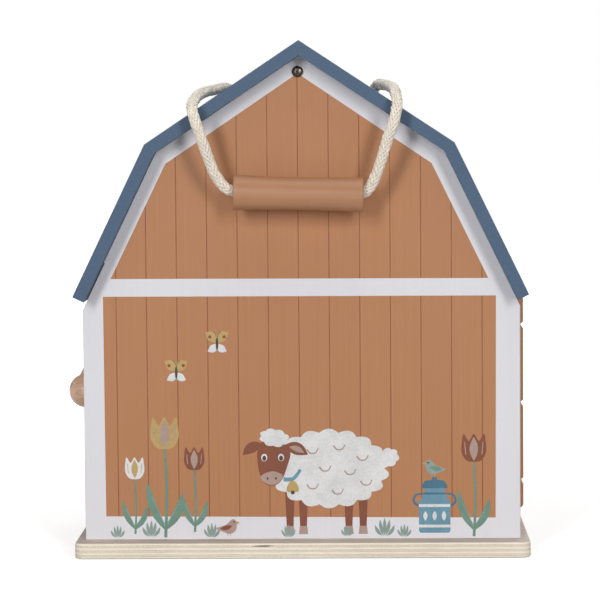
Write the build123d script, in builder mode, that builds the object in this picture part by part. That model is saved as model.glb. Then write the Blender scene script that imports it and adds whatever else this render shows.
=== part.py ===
from build123d import *
import os
from math import atan2, cos, degrees, hypot, pi, radians, sin, tan

# Toy farmhouse: a wooden play barn with a gambrel roof and a rope carrying handle.
# Millimetres, +Z up, origin at the centre of the base's underside.
# The printed back wall faces -Y, the wall with the barn doors faces +Y, the ball knob is at -X.

# Base board
base_width = 254.2
base_depth = 180.0
base_thickness = 9.0
base_corner_radius = 5.5
base_edge_round = 1.2

# Gambrel roof, outer outline at each end
ridge_height = 287.1
kink_half_width = 85.3
kink_height = 230.6
eave_half_width = 126.2
eave_height = 146.6
roof_thickness = 7.0
roof_edge_round = 0.8

# Walls
end_wall_half_width = 122.0
end_wall_inset = 14.0
end_wall_thickness = 8.0
end_wall_edge_round = 0.8
side_wall_half_width = 120.0
side_wall_thickness = 8.0
relief_depth = 1.1
relief_rise = 17.9

# Front doorway, its two doors and the loft window
doorway_half_width = 60.0
doorway_sill = 14.0
doorway_head = 126.0
hinge_gap = 1.0
door_top_gap = 1.0
meeting_gap = 1.2
door_pin_radius = 1.0
door_pin_depth = 7.0
pin_clearance = 0.05
brace_thickness = 2.5
brace_width = 8.0
brace_margin = 4.0
brace_hinge_margin = 7.5
window_half_width = 24.0
window_sill_height = 172.0
window_head_height = 214.0
window_corner_radius = 3.0
sill_board_height = 5.0
sill_board_depth = 9.0
sill_board_overhang = 5.0
front_knob_radius = 5.5
front_knob_seat_radius = 3.0
front_knob_height = 72.0

# Side doorway and its door, measured along Y from the middle of the wall
side_door_rear = -52.0
side_door_front = 21.0
side_door_sill = 15.0
side_door_head = 122.0
knob_radius = 10.0
knob_y = 4.0
knob_height = 84.1
knob_flat = 9.3
knob_screw_radius = 1.6
knob_screw_length = 18.0
knob_screw_head_radius = 3.0
knob_screw_head_height = 1.8

# Turn button beside the side door: a thick round of wood on an eccentric screw
button_radius = 12.0
button_thickness = 16.8
button_straight = 13.2
button_tip_radius = 5.0
button_offset = 2.25
button_height = 83.4
button_door_gap = 0.5
button_wall_gap = 0.3
button_screw_radius = 1.5
button_screw_bite = 6.0
button_screw_head_radius = 2.7
button_screw_head_height = 1.4
button_screw_head_round = 0.8

# Boarding on the right wall: horizontal boards with V grooves between them
boarding_thickness = 6.0
boarding_depth = 76.0
boarding_bottom = 19.8
boarding_eave_gap = 5.6
boarding_groove_pitch = 44.8
boarding_first_groove = 35.5
boarding_groove_width = 3.8
boarding_groove_depth = 1.6
boarding_lip_drop = 1.2
boarding_end_round = 2.6

# Inside: loft floor, its ledges, corner battens and door stops
loft_floor_top = 152.0
loft_floor_thickness = 6.0
loft_floor_gap = 0.5
ledge_height = 8.0
ledge_width = 8.0
batten_size = 8.0
batten_height = 60.0
stop_width = 6.0
stop_overlap = 4.0
stop_drop = 10.0
stop_gap = 0.3
stop_half_length = 24.0

# Ridge rail and the bolts through both end walls into it, measured down from the ridge
rail_half_width = 10.0
rail_drop = 26.1
bolt_drop = 17.1
bolt_x = -1.0
bolt_head_radius = 3.1
bolt_head_height = 1.6
bolt_head_round = 0.9
bolt_socket_radius = 1.3
bolt_socket_depth = 1.0
bolt_shank_radius = 1.9
bolt_length = 24.0
bolt_clearance = 0.05

# Screws up through the base into the walls
screw_shank_radius = 1.5
screw_head_radius = 3.2
screw_head_height = 1.8
screw_length = 22.0
screw_clearance = 0.05
screw_recess = 0.4
end_screw_x = 84.0
side_screw_back_y = -60.0
side_screw_front_y = 46.0

# Rope handle and grip; places on the rope give x, y and the drop below the ridge
rope_radius = 3.0
rope_hole_x = 41.3
rope_hole_clearance = 0.3
rope_lift = 4.0
rope_turn_share = 0.45
anchor_gap = 0.3
knot_radius = 7.0
knot_shoulder_radius = 4.2
knot_length = 10.0
knot_tail = 6.0
grip_end_radius = 9.25
grip_waist_radius = 8.4
grip_bore_clearance = 0.3
grip_flare_radius = 5.7
grip_flare_depth = 6.5
grip_end_round = 1.0
grip_left_end = (-36.1, -95.0, 82.9)
grip_right_end = (35.3, -95.0, 84.8)
rope_entry = 8.0
left_last_bend = -1.7
right_last_bend = 0.8
left_rope_route = [
    (-43.5, 0.0, 24.1),
    (-49.7, -26.0, 25.9),
    (-55.3, -55.0, 27.9),
    (-58.1, -82.0, 31.7),
    (-59.4, -101.0, 36.6),
    (-57.6, -104.5, 43.7),
    (-54.8, -103.0, 52.4),
    (-51.2, -101.0, 61.2),
    (-47.6, -98.5, 70.0),
    (-43.2, -96.3, 77.5),
]
right_rope_route = [
    (43.5, 0.0, 24.1),
    (44.9, -26.0, 24.4),
    (48.9, -55.0, 26.1),
    (52.2, -85.0, 28.3),
    (53.8, -101.0, 35.4),
    (51.8, -104.5, 43.5),
    (48.5, -103.0, 52.7),
    (45.5, -101.0, 61.9),
    (42.2, -98.0, 72.3),
    (38.9, -96.0, 80.5),
]

# Places worked out from the sizes above
base_top = base_thickness
bolt_height = ridge_height - bolt_drop
rail_bottom = ridge_height - rail_drop
relief_top = eave_height + relief_rise
boarding_top = eave_height - boarding_eave_gap
end_wall_face = base_depth / 2 - end_wall_inset
end_wall_inner = end_wall_face - end_wall_thickness
end_wall_middle = end_wall_face - end_wall_thickness / 2
side_wall_inner = side_wall_half_width - side_wall_thickness
side_wall_middle = side_wall_half_width - side_wall_thickness / 2
upper_slope = atan2(ridge_height - kink_height, kink_half_width)
lower_slope = atan2(kink_height - eave_height, eave_half_width - kink_half_width)
upper_normal = Vector(sin(upper_slope), 0, cos(upper_slope))
inner_ridge_height = ridge_height - roof_thickness / cos(upper_slope)
kink_reach = roof_thickness / cos((lower_slope - upper_slope) / 2)
kink_angle = (lower_slope + upper_slope) / 2
inner_kink_x = kink_half_width - kink_reach * sin(kink_angle)
inner_kink_z = kink_height - kink_reach * cos(kink_angle)
inner_eave_x = eave_half_width - roof_thickness * sin(lower_slope)
inner_eave_z = eave_height - roof_thickness * cos(lower_slope)


def roof_underside(x):
    """Height of the roof's underside above a place x, on either side of the ridge."""
    if abs(x) <= inner_kink_x:
        return inner_ridge_height - abs(x) * tan(upper_slope)
    return inner_kink_z - (abs(x) - inner_kink_x) * tan(lower_slope)


def finish(builder, name):
    """Label a finished piece and write it to its own file."""
    builder.part.label = name
    export_step(builder.part, f"parts/{name}.step")


os.makedirs("parts", exist_ok=True)

# Base board with rounded corners and stepped holes for the wall screws
screw_places = [
    (x, y) for x in (-end_screw_x, end_screw_x) for y in (-end_wall_middle, end_wall_middle)
] + [
    (x, y) for x in (-side_wall_middle, side_wall_middle) for y in (side_screw_back_y, side_screw_front_y)
]
with BuildPart() as base_board:
    with BuildSketch(Plane.XY):
        RectangleRounded(base_width, base_depth, base_corner_radius)
    extrude(amount=base_thickness)
    fillet(base_board.faces().sort_by(Axis.Z)[-1].outer_wire().edges(), base_edge_round)
    fillet(base_board.faces().sort_by(Axis.Z)[0].outer_wire().edges(), base_edge_round)
    with BuildSketch(Plane.XY):
        with Locations(*screw_places):
            Circle(screw_shank_radius + screw_clearance)
    extrude(amount=base_thickness, mode=Mode.SUBTRACT)
    with BuildSketch(Plane.XY):
        with Locations(*screw_places):
            Circle(screw_head_radius + screw_clearance)
    extrude(amount=screw_recess + screw_head_height, mode=Mode.SUBTRACT)
finish(base_board, "base_board")

# Screws from under the base: flat head in its recess, shank up into the wall
with BuildPart() as base_screws:
    with BuildSketch(Plane.XY.offset(screw_recess)):
        with Locations(*screw_places):
            Circle(screw_head_radius)
    extrude(amount=screw_head_height)
    with BuildSketch(Plane.XY.offset(screw_recess)):
        with Locations(*screw_places):
            Circle(screw_shank_radius)
    extrude(amount=screw_length)
finish(base_screws, "base_screws")


# Pilot holes for the base screws, cut into the undersides of the walls
with BuildPart() as pilot_holes:
    with BuildSketch(Plane.XY.offset(base_top)):
        with Locations(*screw_places):
            Circle(screw_shank_radius + screw_clearance)
    extrude(amount=screw_recess + screw_length - base_top)


def wall_outline(left_relief):
    """Right-hand and left-hand corners of an end wall, from the base up to the ridge."""
    right = [
        (end_wall_half_width, base_top),
        (end_wall_half_width, roof_underside(end_wall_half_width)),
        (inner_kink_x, inner_kink_z),
        (0, inner_ridge_height),
    ]
    shift = relief_depth / sin(lower_slope) if left_relief else 0.0
    relief_x = inner_kink_x + (inner_kink_z - relief_top) / tan(lower_slope)
    left = [(-inner_kink_x, inner_kink_z)]
    if left_relief:
        left += [(-relief_x, relief_top), (-relief_x + shift, relief_top)]
    left_top = roof_underside(end_wall_half_width + shift)
    left += [(-end_wall_half_width, left_top), (-end_wall_half_width, base_top)]
    return right + left


# Back wall: printed face towards -Y, with the thin relief under the left eave
with BuildPart() as back_wall:
    with BuildSketch(Plane.XZ.offset(end_wall_inner)):
        with BuildLine():
            Polyline(*wall_outline(left_relief=True), close=True)
        make_face()
    extrude(amount=end_wall_thickness)
    side_edges = back_wall.edges().filter_by(Axis.Z).group_by(Axis.Y)[0]
    fillet(side_edges, end_wall_edge_round)
    with BuildSketch(Plane.XZ.offset(end_wall_inner)):
        with Locations((bolt_x, bolt_height)):
            Circle(bolt_shank_radius + bolt_clearance)
    extrude(amount=end_wall_thickness, mode=Mode.SUBTRACT)
    add(pilot_holes.part, mode=Mode.SUBTRACT)
finish(back_wall, "back_wall")

# Front wall: the same outline with the doorway, the loft window and sockets for the door pins
pin_x = doorway_half_width - hinge_gap - end_wall_thickness / 2
with BuildPart() as front_wall:
    with BuildSketch(Plane.XZ.offset(-end_wall_face)):
        with BuildLine():
            Polyline(*wall_outline(left_relief=False), close=True)
        make_face()
        with Locations((0, (doorway_sill + doorway_head) / 2)):
            Rectangle(2 * doorway_half_width, doorway_head - doorway_sill, mode=Mode.SUBTRACT)
        with Locations((0, (window_sill_height + window_head_height) / 2)):
            RectangleRounded(
                2 * window_half_width,
                window_head_height - window_sill_height,
                window_corner_radius,
                mode=Mode.SUBTRACT,
            )
        with Locations((bolt_x, bolt_height)):
            Circle(bolt_shank_radius + bolt_clearance, mode=Mode.SUBTRACT)
    extrude(amount=end_wall_thickness)
    outer_faces = front_wall.edges().filter_by(Axis.Z).group_by(Axis.Y)[-1]
    fillet(outer_faces.group_by(Axis.X)[0] + outer_faces.group_by(Axis.X)[-1], end_wall_edge_round)
    with BuildSketch(Plane.XY.offset(doorway_head)):
        with Locations((-pin_x, end_wall_middle), (pin_x, end_wall_middle)):
            Circle(door_pin_radius)
    extrude(amount=door_pin_depth, mode=Mode.SUBTRACT)
    with BuildSketch(Plane.XY.offset(doorway_sill)):
        with Locations((-pin_x, end_wall_middle), (pin_x, end_wall_middle)):
            Circle(door_pin_radius)
    extrude(amount=base_top - doorway_sill, mode=Mode.SUBTRACT)
    add(pilot_holes.part, mode=Mode.SUBTRACT)
finish(front_wall, "front_wall")


def side_wall_section():
    """Section of a side wall in X and Z, its top bevelled to the roof's underside."""
    return [
        (side_wall_inner, base_top),
        (side_wall_half_width, base_top),
        (side_wall_half_width, roof_underside(side_wall_half_width)),
        (side_wall_inner, roof_underside(side_wall_inner)),
    ]


# Right wall, plain behind its boarding
with BuildPart() as right_wall:
    with BuildSketch(Plane.XZ.offset(-end_wall_inner)):
        with BuildLine():
            Polyline(*side_wall_section(), close=True)
        make_face()
    extrude(amount=2 * end_wall_inner)
    add(pilot_holes.part, mode=Mode.SUBTRACT)
finish(right_wall, "right_wall")

# Left wall with the side doorway and the sockets for its pins
side_pin_y = side_door_rear + hinge_gap + side_wall_thickness / 2
button_pivot_y = side_door_front + button_door_gap - hinge_gap + button_radius - button_offset
with BuildPart() as left_wall:
    with BuildSketch(Plane.XZ.offset(-end_wall_inner)):
        with BuildLine():
            Polyline(*[(-x, z) for x, z in side_wall_section()], close=True)
        make_face()
    extrude(amount=2 * end_wall_inner)
    with BuildSketch(Plane.YZ.offset(-side_wall_half_width)):
        with Locations(((side_door_rear + side_door_front) / 2, (side_door_sill + side_door_head) / 2)):
            Rectangle(side_door_front - side_door_rear, side_door_head - side_door_sill)
    extrude(amount=side_wall_thickness, mode=Mode.SUBTRACT)
    with BuildSketch(Plane.XY.offset(side_door_head)):
        with Locations((-side_wall_middle, side_pin_y)):
            Circle(door_pin_radius)
    extrude(amount=door_pin_depth, mode=Mode.SUBTRACT)
    with BuildSketch(Plane.XY.offset(side_door_sill)):
        with Locations((-side_wall_middle, side_pin_y)):
            Circle(door_pin_radius)
    extrude(amount=base_top - side_door_sill, mode=Mode.SUBTRACT)
    with BuildSketch(Plane.YZ.offset(-side_wall_half_width)):
        with Locations((button_pivot_y, button_height)):
            Circle(button_screw_radius)
    extrude(amount=button_screw_bite, mode=Mode.SUBTRACT)
    add(pilot_holes.part, mode=Mode.SUBTRACT)
finish(left_wall, "left_wall")

# Boarding on the right wall: V grooves right across, a square upper lip and a long bevel below it
groove_heights = [
    boarding_first_groove + i * boarding_groove_pitch
    for i in range(int((boarding_top - boarding_first_groove) // boarding_groove_pitch) + 1)
]
boarding_face = side_wall_half_width + boarding_thickness
with BuildPart() as side_boarding:
    boarding_middle_x = side_wall_half_width + boarding_thickness / 2
    with BuildSketch(Plane.XZ.offset(-boarding_depth / 2)):
        with Locations((boarding_middle_x, (boarding_bottom + boarding_top) / 2)):
            Rectangle(boarding_thickness, boarding_top - boarding_bottom)
        for height in groove_heights:
            upper_lip = height + boarding_groove_width / 2
            with BuildLine():
                Polyline(
                    (boarding_face, upper_lip),
                    (boarding_face - boarding_groove_depth, upper_lip - boarding_lip_drop),
                    (boarding_face, upper_lip - boarding_groove_width),
                    close=True,
                )
            make_face(mode=Mode.SUBTRACT)
    extrude(amount=boarding_depth)
    outer_ends = side_boarding.faces().filter_by(Axis.X).group_by(Axis.X)[-1].edges()
    bottom_edge = outer_ends.filter_by(Axis.Y).sort_by(Axis.Z)[0]
    fillet(bottom_edge, boarding_end_round)
finish(side_boarding, "side_boarding")


def roof_board(name, corners, hole_side=0):
    """One roof board from its section; hole_side is -1 or 1 where the rope passes through it."""
    with BuildPart() as board:
        with BuildSketch(Plane.XZ.offset(-base_depth / 2)):
            with BuildLine():
                Polyline(*corners, close=True)
            make_face()
        extrude(amount=base_depth)
        end_faces = board.faces().filter_by(Axis.Y)
        outer_edge = end_faces.edges().group_by(SortBy.LENGTH)[-1].sort_by(Axis.Z)
        fillet(outer_edge, roof_edge_round)
        if hole_side:
            mouth = Vector(hole_side * rope_hole_x, 0, ridge_height - rope_hole_x * tan(upper_slope))
            normal = Vector(hole_side * upper_normal.X, 0, upper_normal.Z)
            with BuildSketch(Plane(origin=mouth, x_dir=(0, 1, 0), z_dir=normal)):
                Circle(rope_radius + rope_hole_clearance)
            extrude(amount=-2 * roof_thickness, both=True, mode=Mode.SUBTRACT)
    finish(board, name)


upper_section = [
    (0, ridge_height),
    (kink_half_width, kink_height),
    (inner_kink_x, inner_kink_z),
    (0, inner_ridge_height),
]
lower_section = [
    (kink_half_width, kink_height),
    (eave_half_width, eave_height),
    (inner_eave_x, inner_eave_z),
    (inner_kink_x, inner_kink_z),
]
for side_name, side in (("left", -1), ("right", 1)):
    roof_board(f"roof_upper_{side_name}", [(side * x, z) for x, z in upper_section], hole_side=side)
    roof_board(f"roof_lower_{side_name}", [(side * x, z) for x, z in lower_section])

# Ridge rail between the end walls, shaped to the underside of the two upper boards
with BuildPart() as ridge_rail:
    with BuildSketch(Plane.XZ.offset(-end_wall_inner)):
        with BuildLine():
            Polyline(
                (-rail_half_width, rail_bottom),
                (rail_half_width, rail_bottom),
                (rail_half_width, roof_underside(rail_half_width)),
                (0, inner_ridge_height),
                (-rail_half_width, roof_underside(rail_half_width)),
                close=True,
            )
        make_face()
    extrude(amount=2 * end_wall_inner)
    bolt_bite = bolt_length - end_wall_thickness
    for wall_side in (-1, 1):
        with BuildSketch(Plane.XZ.offset(wall_side * end_wall_inner)):
            with Locations((bolt_x, bolt_height)):
                Circle(bolt_shank_radius + bolt_clearance)
        extrude(amount=-wall_side * bolt_bite, mode=Mode.SUBTRACT)
finish(ridge_rail, "ridge_rail")

# Ridge bolts: a domed head with a hexagon socket, one at each end
with BuildPart() as ridge_bolts:
    for wall_side in (-1, 1):
        outward = Plane(origin=(bolt_x, wall_side * end_wall_face, bolt_height), z_dir=(0, wall_side, 0))
        with BuildSketch(outward):
            Circle(bolt_head_radius)
        extrude(amount=bolt_head_height)
        head_rim = ridge_bolts.faces().sort_by(Axis.Y)[0 if wall_side < 0 else -1].edges()
        fillet(head_rim, bolt_head_round)
        with BuildSketch(outward.offset(bolt_head_height)):
            RegularPolygon(bolt_socket_radius, 6)
        extrude(amount=-bolt_socket_depth, mode=Mode.SUBTRACT)
        with BuildSketch(outward):
            Circle(bolt_shank_radius)
        extrude(amount=-bolt_length)
finish(ridge_bolts, "ridge_bolts")

# Loft floor on two ledges, between the four walls
loft_floor_bottom = loft_floor_top - loft_floor_thickness
with BuildPart() as loft_floor:
    with BuildSketch(Plane.XY.offset(loft_floor_bottom)):
        Rectangle(2 * (side_wall_inner - loft_floor_gap), 2 * (end_wall_inner - loft_floor_gap))
    extrude(amount=loft_floor_thickness)
finish(loft_floor, "loft_floor")
with BuildPart() as loft_ledges:
    with BuildSketch(Plane.XY.offset(loft_floor_bottom)):
        for side in (-1, 1):
            with Locations((side * (side_wall_inner - ledge_width / 2), 0)):
                Rectangle(ledge_width, 2 * (end_wall_inner - batten_size))
    extrude(amount=-ledge_height)
finish(loft_ledges, "loft_ledges")

# Corner battens: glue blocks in the four corners, standing on the base
with BuildPart() as corner_battens:
    with BuildSketch(Plane.XY.offset(base_top)):
        with GridLocations(2 * side_wall_inner - batten_size, 2 * end_wall_inner - batten_size, 2, 2):
            Rectangle(batten_size, batten_size)
    extrude(amount=batten_height)
finish(corner_battens, "corner_battens")


def half_round_door(name, pin_at, toward, width, bottom, top, thickness, bored):
    """A door leaf with a round hinge edge, its length running from the pin along toward."""
    leaf = Plane(origin=(pin_at[0], pin_at[1], bottom), x_dir=toward, z_dir=(0, 0, 1))
    with BuildPart() as door:
        with BuildSketch(leaf):
            with Locations((width / 2, 0)):
                Rectangle(width, thickness)
            Circle(thickness / 2)
        extrude(amount=top - bottom)
        for plane, inward in ((leaf, 1), (leaf.offset(top - bottom), -1)):
            with BuildSketch(plane):
                Circle(door_pin_radius + pin_clearance)
            extrude(amount=inward * (door_pin_depth + pin_clearance), mode=Mode.SUBTRACT)
        if bored:
            with BuildSketch(Plane.YZ.offset(-side_wall_half_width)):
                with Locations((knob_y, knob_height)):
                    Circle(knob_screw_radius)
            extrude(amount=thickness, mode=Mode.SUBTRACT)
    finish(door, name)


# Front doors, hinged in the doorway's thickness
door_bottom = doorway_sill + door_top_gap
door_top = doorway_head - door_top_gap
leaf_length = pin_x - meeting_gap / 2
for side_name, side in (("left", -1), ("right", 1)):
    half_round_door(
        f"front_door_{side_name}",
        (side * pin_x, end_wall_middle),
        (-side, 0, 0),
        leaf_length,
        door_bottom,
        door_top,
        end_wall_thickness,
        bored=False,
    )

# Bracing on each front door: a frame and a cross, one flat piece
brace_left = -pin_x + brace_hinge_margin
brace_right = -meeting_gap / 2 - brace_margin / 2
brace_bottom = door_bottom + brace_margin
brace_top = door_top - brace_margin
brace_middle_x = (brace_left + brace_right) / 2
brace_middle_z = (brace_bottom + brace_top) / 2
brace_span_x = brace_right - brace_left
brace_span_z = brace_top - brace_bottom
field_x = brace_span_x - 2 * brace_width
field_z = brace_span_z - 2 * brace_width
brace_slant = degrees(atan2(field_z, field_x))
for side_name, side in (("left", 1), ("right", -1)):
    with BuildPart() as door_bracing:
        with BuildSketch(Plane.XZ.offset(-end_wall_face)):
            with Locations((side * brace_middle_x, brace_middle_z)):
                Rectangle(brace_span_x, brace_span_z)
                Rectangle(field_x, field_z, mode=Mode.SUBTRACT)
            with BuildSketch(mode=Mode.PRIVATE) as cross:
                with Locations((side * brace_middle_x, brace_middle_z)):
                    for slant in (brace_slant, -brace_slant):
                        Rectangle(hypot(field_x, field_z), brace_width, rotation=slant)
                    Rectangle(field_x + brace_width, field_z + brace_width, mode=Mode.INTERSECT)
            add(cross.sketch)
        extrude(amount=-brace_thickness)
    finish(door_bracing, f"door_bracing_{side_name}")

# Front door knobs, small flattened balls on the bracing beside the meeting edges
front_knob_x = -brace_right + brace_width / 2
for side_name, side in (("left", -1), ("right", 1)):
    with BuildPart() as front_knob:
        seat = end_wall_face + brace_thickness
        seat_point = (side * front_knob_x, seat, front_knob_height)
        with BuildSketch(Plane(origin=seat_point, x_dir=(0, 1, 0), z_dir=(1, 0, 0))):
            middle = (front_knob_radius**2 - front_knob_seat_radius**2) ** 0.5
            with BuildLine():
                Line((0, 0), (0, front_knob_seat_radius))
                ThreePointArc(
                    (0, front_knob_seat_radius),
                    (middle, front_knob_radius),
                    (middle + front_knob_radius, 0),
                )
                Line((middle + front_knob_radius, 0), (0, 0))
            make_face()
        revolve(axis=Axis(seat_point, (0, 1, 0)))
    finish(front_knob, f"front_knob_{side_name}")

# Pins of the front doors, driven into the sill and the head of the doorway
with BuildPart() as front_door_pins:
    for side in (-1, 1):
        for height, direction in ((doorway_sill, 1), (doorway_head, -1)):
            with BuildSketch(Plane.XY.offset(height)):
                with Locations((side * pin_x, end_wall_middle)):
                    Circle(door_pin_radius)
            extrude(amount=direction * (door_top_gap + door_pin_depth))
            socket_reach = base_top - doorway_sill if direction > 0 else door_pin_depth
            with BuildSketch(Plane.XY.offset(height)):
                with Locations((side * pin_x, end_wall_middle)):
                    Circle(door_pin_radius)
            extrude(amount=socket_reach)
finish(front_door_pins, "front_door_pins")

# Stop rail inside, above the front doors, that they close against
with BuildPart() as front_door_stop:
    with BuildSketch(Plane.XY.offset(door_top - stop_overlap)):
        with Locations((0, end_wall_inner - stop_gap - stop_width / 2)):
            Rectangle(2 * stop_half_length, stop_width)
    extrude(amount=stop_drop)
    with BuildSketch(Plane.XY.offset(doorway_head)):
        with Locations((0, end_wall_inner - stop_width / 2)):
            Rectangle(2 * stop_half_length, stop_width)
    extrude(amount=door_top - stop_overlap + stop_drop - doorway_head)
finish(front_door_stop, "front_door_stop")

# Sill board under the loft window
with BuildPart() as window_sill:
    with BuildSketch(Plane.XZ.offset(-end_wall_face)):
        with Locations((0, window_sill_height - sill_board_height / 2)):
            Rectangle(2 * (window_half_width + sill_board_overhang), sill_board_height)
    extrude(amount=-sill_board_depth)
    front_edges = window_sill.edges().group_by(Axis.Y)[-1]
    fillet(front_edges, roof_edge_round)
finish(window_sill, "window_sill")

# Side door, hinged at its rear edge, with the ball knob near the free edge
side_leaf_length = side_door_front - hinge_gap - side_pin_y
half_round_door(
    "side_door",
    (-side_wall_middle, side_pin_y),
    (0, 1, 0),
    side_leaf_length,
    side_door_sill + door_top_gap,
    side_door_head - door_top_gap,
    side_wall_thickness,
    bored=True,
)
with BuildPart() as side_door_pins:
    for height, inside, outside in (
        (side_door_sill, door_top_gap + door_pin_depth, base_top - side_door_sill),
        (side_door_head, -door_top_gap - door_pin_depth, door_pin_depth),
    ):
        for amount in (inside, outside):
            with BuildSketch(Plane.XY.offset(height)):
                with Locations((-side_wall_middle, side_pin_y)):
                    Circle(door_pin_radius)
            extrude(amount=amount)
finish(side_door_pins, "side_door_pins")
with BuildPart() as side_door_stop:
    stop_bottom = side_door_head - door_top_gap - stop_overlap
    stop_middle_y = (side_door_rear + side_door_front) / 2
    with BuildSketch(Plane.XY.offset(stop_bottom)):
        with Locations((-side_wall_inner + stop_gap + stop_width / 2, stop_middle_y)):
            Rectangle(stop_width, 2 * stop_half_length)
    extrude(amount=stop_drop)
    with BuildSketch(Plane.XY.offset(side_door_head)):
        with Locations((-side_wall_inner + stop_width / 2, stop_middle_y)):
            Rectangle(stop_width, 2 * stop_half_length)
    extrude(amount=stop_bottom + stop_drop - side_door_head)
finish(side_door_stop, "side_door_stop")

# Ball knob, cut flat where it sits on the door, bored for its screw
knob_centre = Vector(-side_wall_half_width - knob_flat, knob_y, knob_height)
with BuildPart() as side_door_knob:
    with BuildSketch(Plane(origin=knob_centre, x_dir=(1, 0, 0), z_dir=(0, -1, 0))):
        flat_radius = (knob_radius**2 - knob_flat**2) ** 0.5
        with BuildLine():
            Line((knob_flat, 0), (knob_flat, flat_radius))
            ThreePointArc((knob_flat, flat_radius), (0, knob_radius), (-knob_radius, 0))
            Line((-knob_radius, 0), (knob_flat, 0))
        make_face()
    revolve(axis=Axis(knob_centre, (1, 0, 0)))
    with BuildSketch(Plane.YZ.offset(-side_wall_half_width)):
        with Locations((knob_y, knob_height)):
            Circle(knob_screw_radius)
    extrude(amount=-(knob_screw_length - side_wall_thickness), mode=Mode.SUBTRACT)
finish(side_door_knob, "side_door_knob")
with BuildPart() as knob_screw:
    with BuildSketch(Plane.YZ.offset(-side_wall_inner)):
        with Locations((knob_y, knob_height)):
            Circle(knob_screw_radius)
    extrude(amount=-knob_screw_length)
    with BuildSketch(Plane.YZ.offset(-side_wall_inner)):
        with Locations((knob_y, knob_height)):
            Circle(knob_screw_head_radius)
    extrude(amount=knob_screw_head_height)
finish(knob_screw, "knob_screw")

# Turn button: a straight round with a tapered front, turning on a screw set off its centre
button_face = -side_wall_half_width - button_wall_gap
button_centre = Vector(button_face, button_pivot_y + button_offset, button_height)
with BuildPart() as turn_button:
    with BuildSketch(Plane(origin=button_centre, x_dir=(-1, 0, 0), z_dir=(0, -1, 0))):
        with BuildLine():
            Polyline(
                (0, 0),
                (0, button_radius),
                (button_straight, button_radius),
                (button_thickness, button_tip_radius),
                (button_thickness, 0),
                close=True,
            )
        make_face()
    revolve(axis=Axis(button_centre, (-1, 0, 0)))
    with BuildSketch(Plane.YZ.offset(button_face)):
        with Locations((button_pivot_y, button_height)):
            Circle(button_screw_radius + pin_clearance)
    extrude(amount=-button_thickness, mode=Mode.SUBTRACT)
finish(turn_button, "turn_button")
with BuildPart() as button_screw:
    with BuildSketch(Plane.YZ.offset(button_face - button_thickness - pin_clearance)):
        with Locations((button_pivot_y, button_height)):
            Circle(button_screw_radius)
    extrude(amount=button_thickness + pin_clearance + button_wall_gap + button_screw_bite)
    with BuildSketch(Plane.YZ.offset(button_face - button_thickness - pin_clearance)):
        with Locations((button_pivot_y, button_height)):
            Circle(button_screw_head_radius)
    extrude(amount=-button_screw_head_height)
    fillet(button_screw.faces().sort_by(Axis.X)[0].edges(), button_screw_head_round)
finish(button_screw, "button_screw")

# Rope anchors: the rope through the roof board's hole, with its knot below
for side_name, side in (("left", -1), ("right", 1)):
    mouth = Vector(side * rope_hole_x, 0, ridge_height - rope_hole_x * tan(upper_slope))
    normal = Vector(side * upper_normal.X, 0, upper_normal.Z)
    with BuildPart() as rope_anchor:
        with BuildSketch(Plane(origin=mouth, x_dir=normal, z_dir=(0, 1, 0))):
            with BuildLine():
                top = rope_lift - rope_radius - anchor_gap
                knot_top = -roof_thickness
                knot_bottom = knot_top - knot_length
                Polyline((top, 0), (top, rope_radius), (knot_top, rope_radius))
                Line((knot_top, rope_radius), (knot_top, knot_shoulder_radius))
                ThreePointArc(
                    (knot_top, knot_shoulder_radius),
                    (knot_top - knot_length / 2, knot_radius),
                    (knot_bottom, rope_radius),
                )
                Polyline(
                    (knot_bottom, rope_radius),
                    (knot_bottom - knot_tail, rope_radius),
                    (knot_bottom - knot_tail, 0),
                    (top, 0),
                )
            make_face()
        revolve(axis=Axis(mouth, normal))
    finish(rope_anchor, f"rope_anchor_{side_name}")


def from_ridge(route):
    """Points of a route, their heights worked out from the ridge."""
    return [Vector(x, y, ridge_height - drop) for x, y, drop in route]


def rope_stretch(name, points):
    """A free stretch of rope: straight runs with the largest tangent arcs that they allow."""
    runs = [(b - a).length for a, b in zip(points, points[1:])]
    radii = []
    for i in range(1, len(points) - 1):
        turn = radians((points[i] - points[i - 1]).get_angle(points[i + 1] - points[i]))
        radii.append(rope_turn_share * min(runs[i - 1], runs[i]) / tan(turn / 2))
    with BuildPart() as rope:
        with BuildLine() as path:
            FilletPolyline(*points, radius=radii)
        route = path.wire()
        with BuildSketch(Plane(origin=route @ 0, z_dir=route % 0)):
            Circle(rope_radius)
        sweep(path=route)
        with Locations(points[0]):
            Sphere(rope_radius)
    finish(rope, name)
    ideal = pi * rope_radius**2 * route.length + 2 / 3 * pi * rope_radius**3
    print(name, "radii", [round(radius, 1) for radius in radii], "length", round(route.length, 1))
    print(name, "volume", round(rope.part.volume, 1), "section times length", round(ideal, 1))


# Each free stretch turns into the grip's axis at its last bend and ends inside the flared bore
left_face, right_face = from_ridge([grip_left_end, grip_right_end])
grip_length = (right_face - left_face).length
grip_axis = (right_face - left_face).normalized()
left_end = left_face + grip_axis * rope_entry
right_end = right_face - grip_axis * rope_entry
left_bend = left_face + grip_axis * left_last_bend
right_bend = right_face - grip_axis * right_last_bend
rope_stretch("rope_left", [*from_ridge(left_rope_route), left_bend, left_end])
rope_stretch("rope_right", [*from_ridge(right_rope_route), right_bend, right_end])

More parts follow.
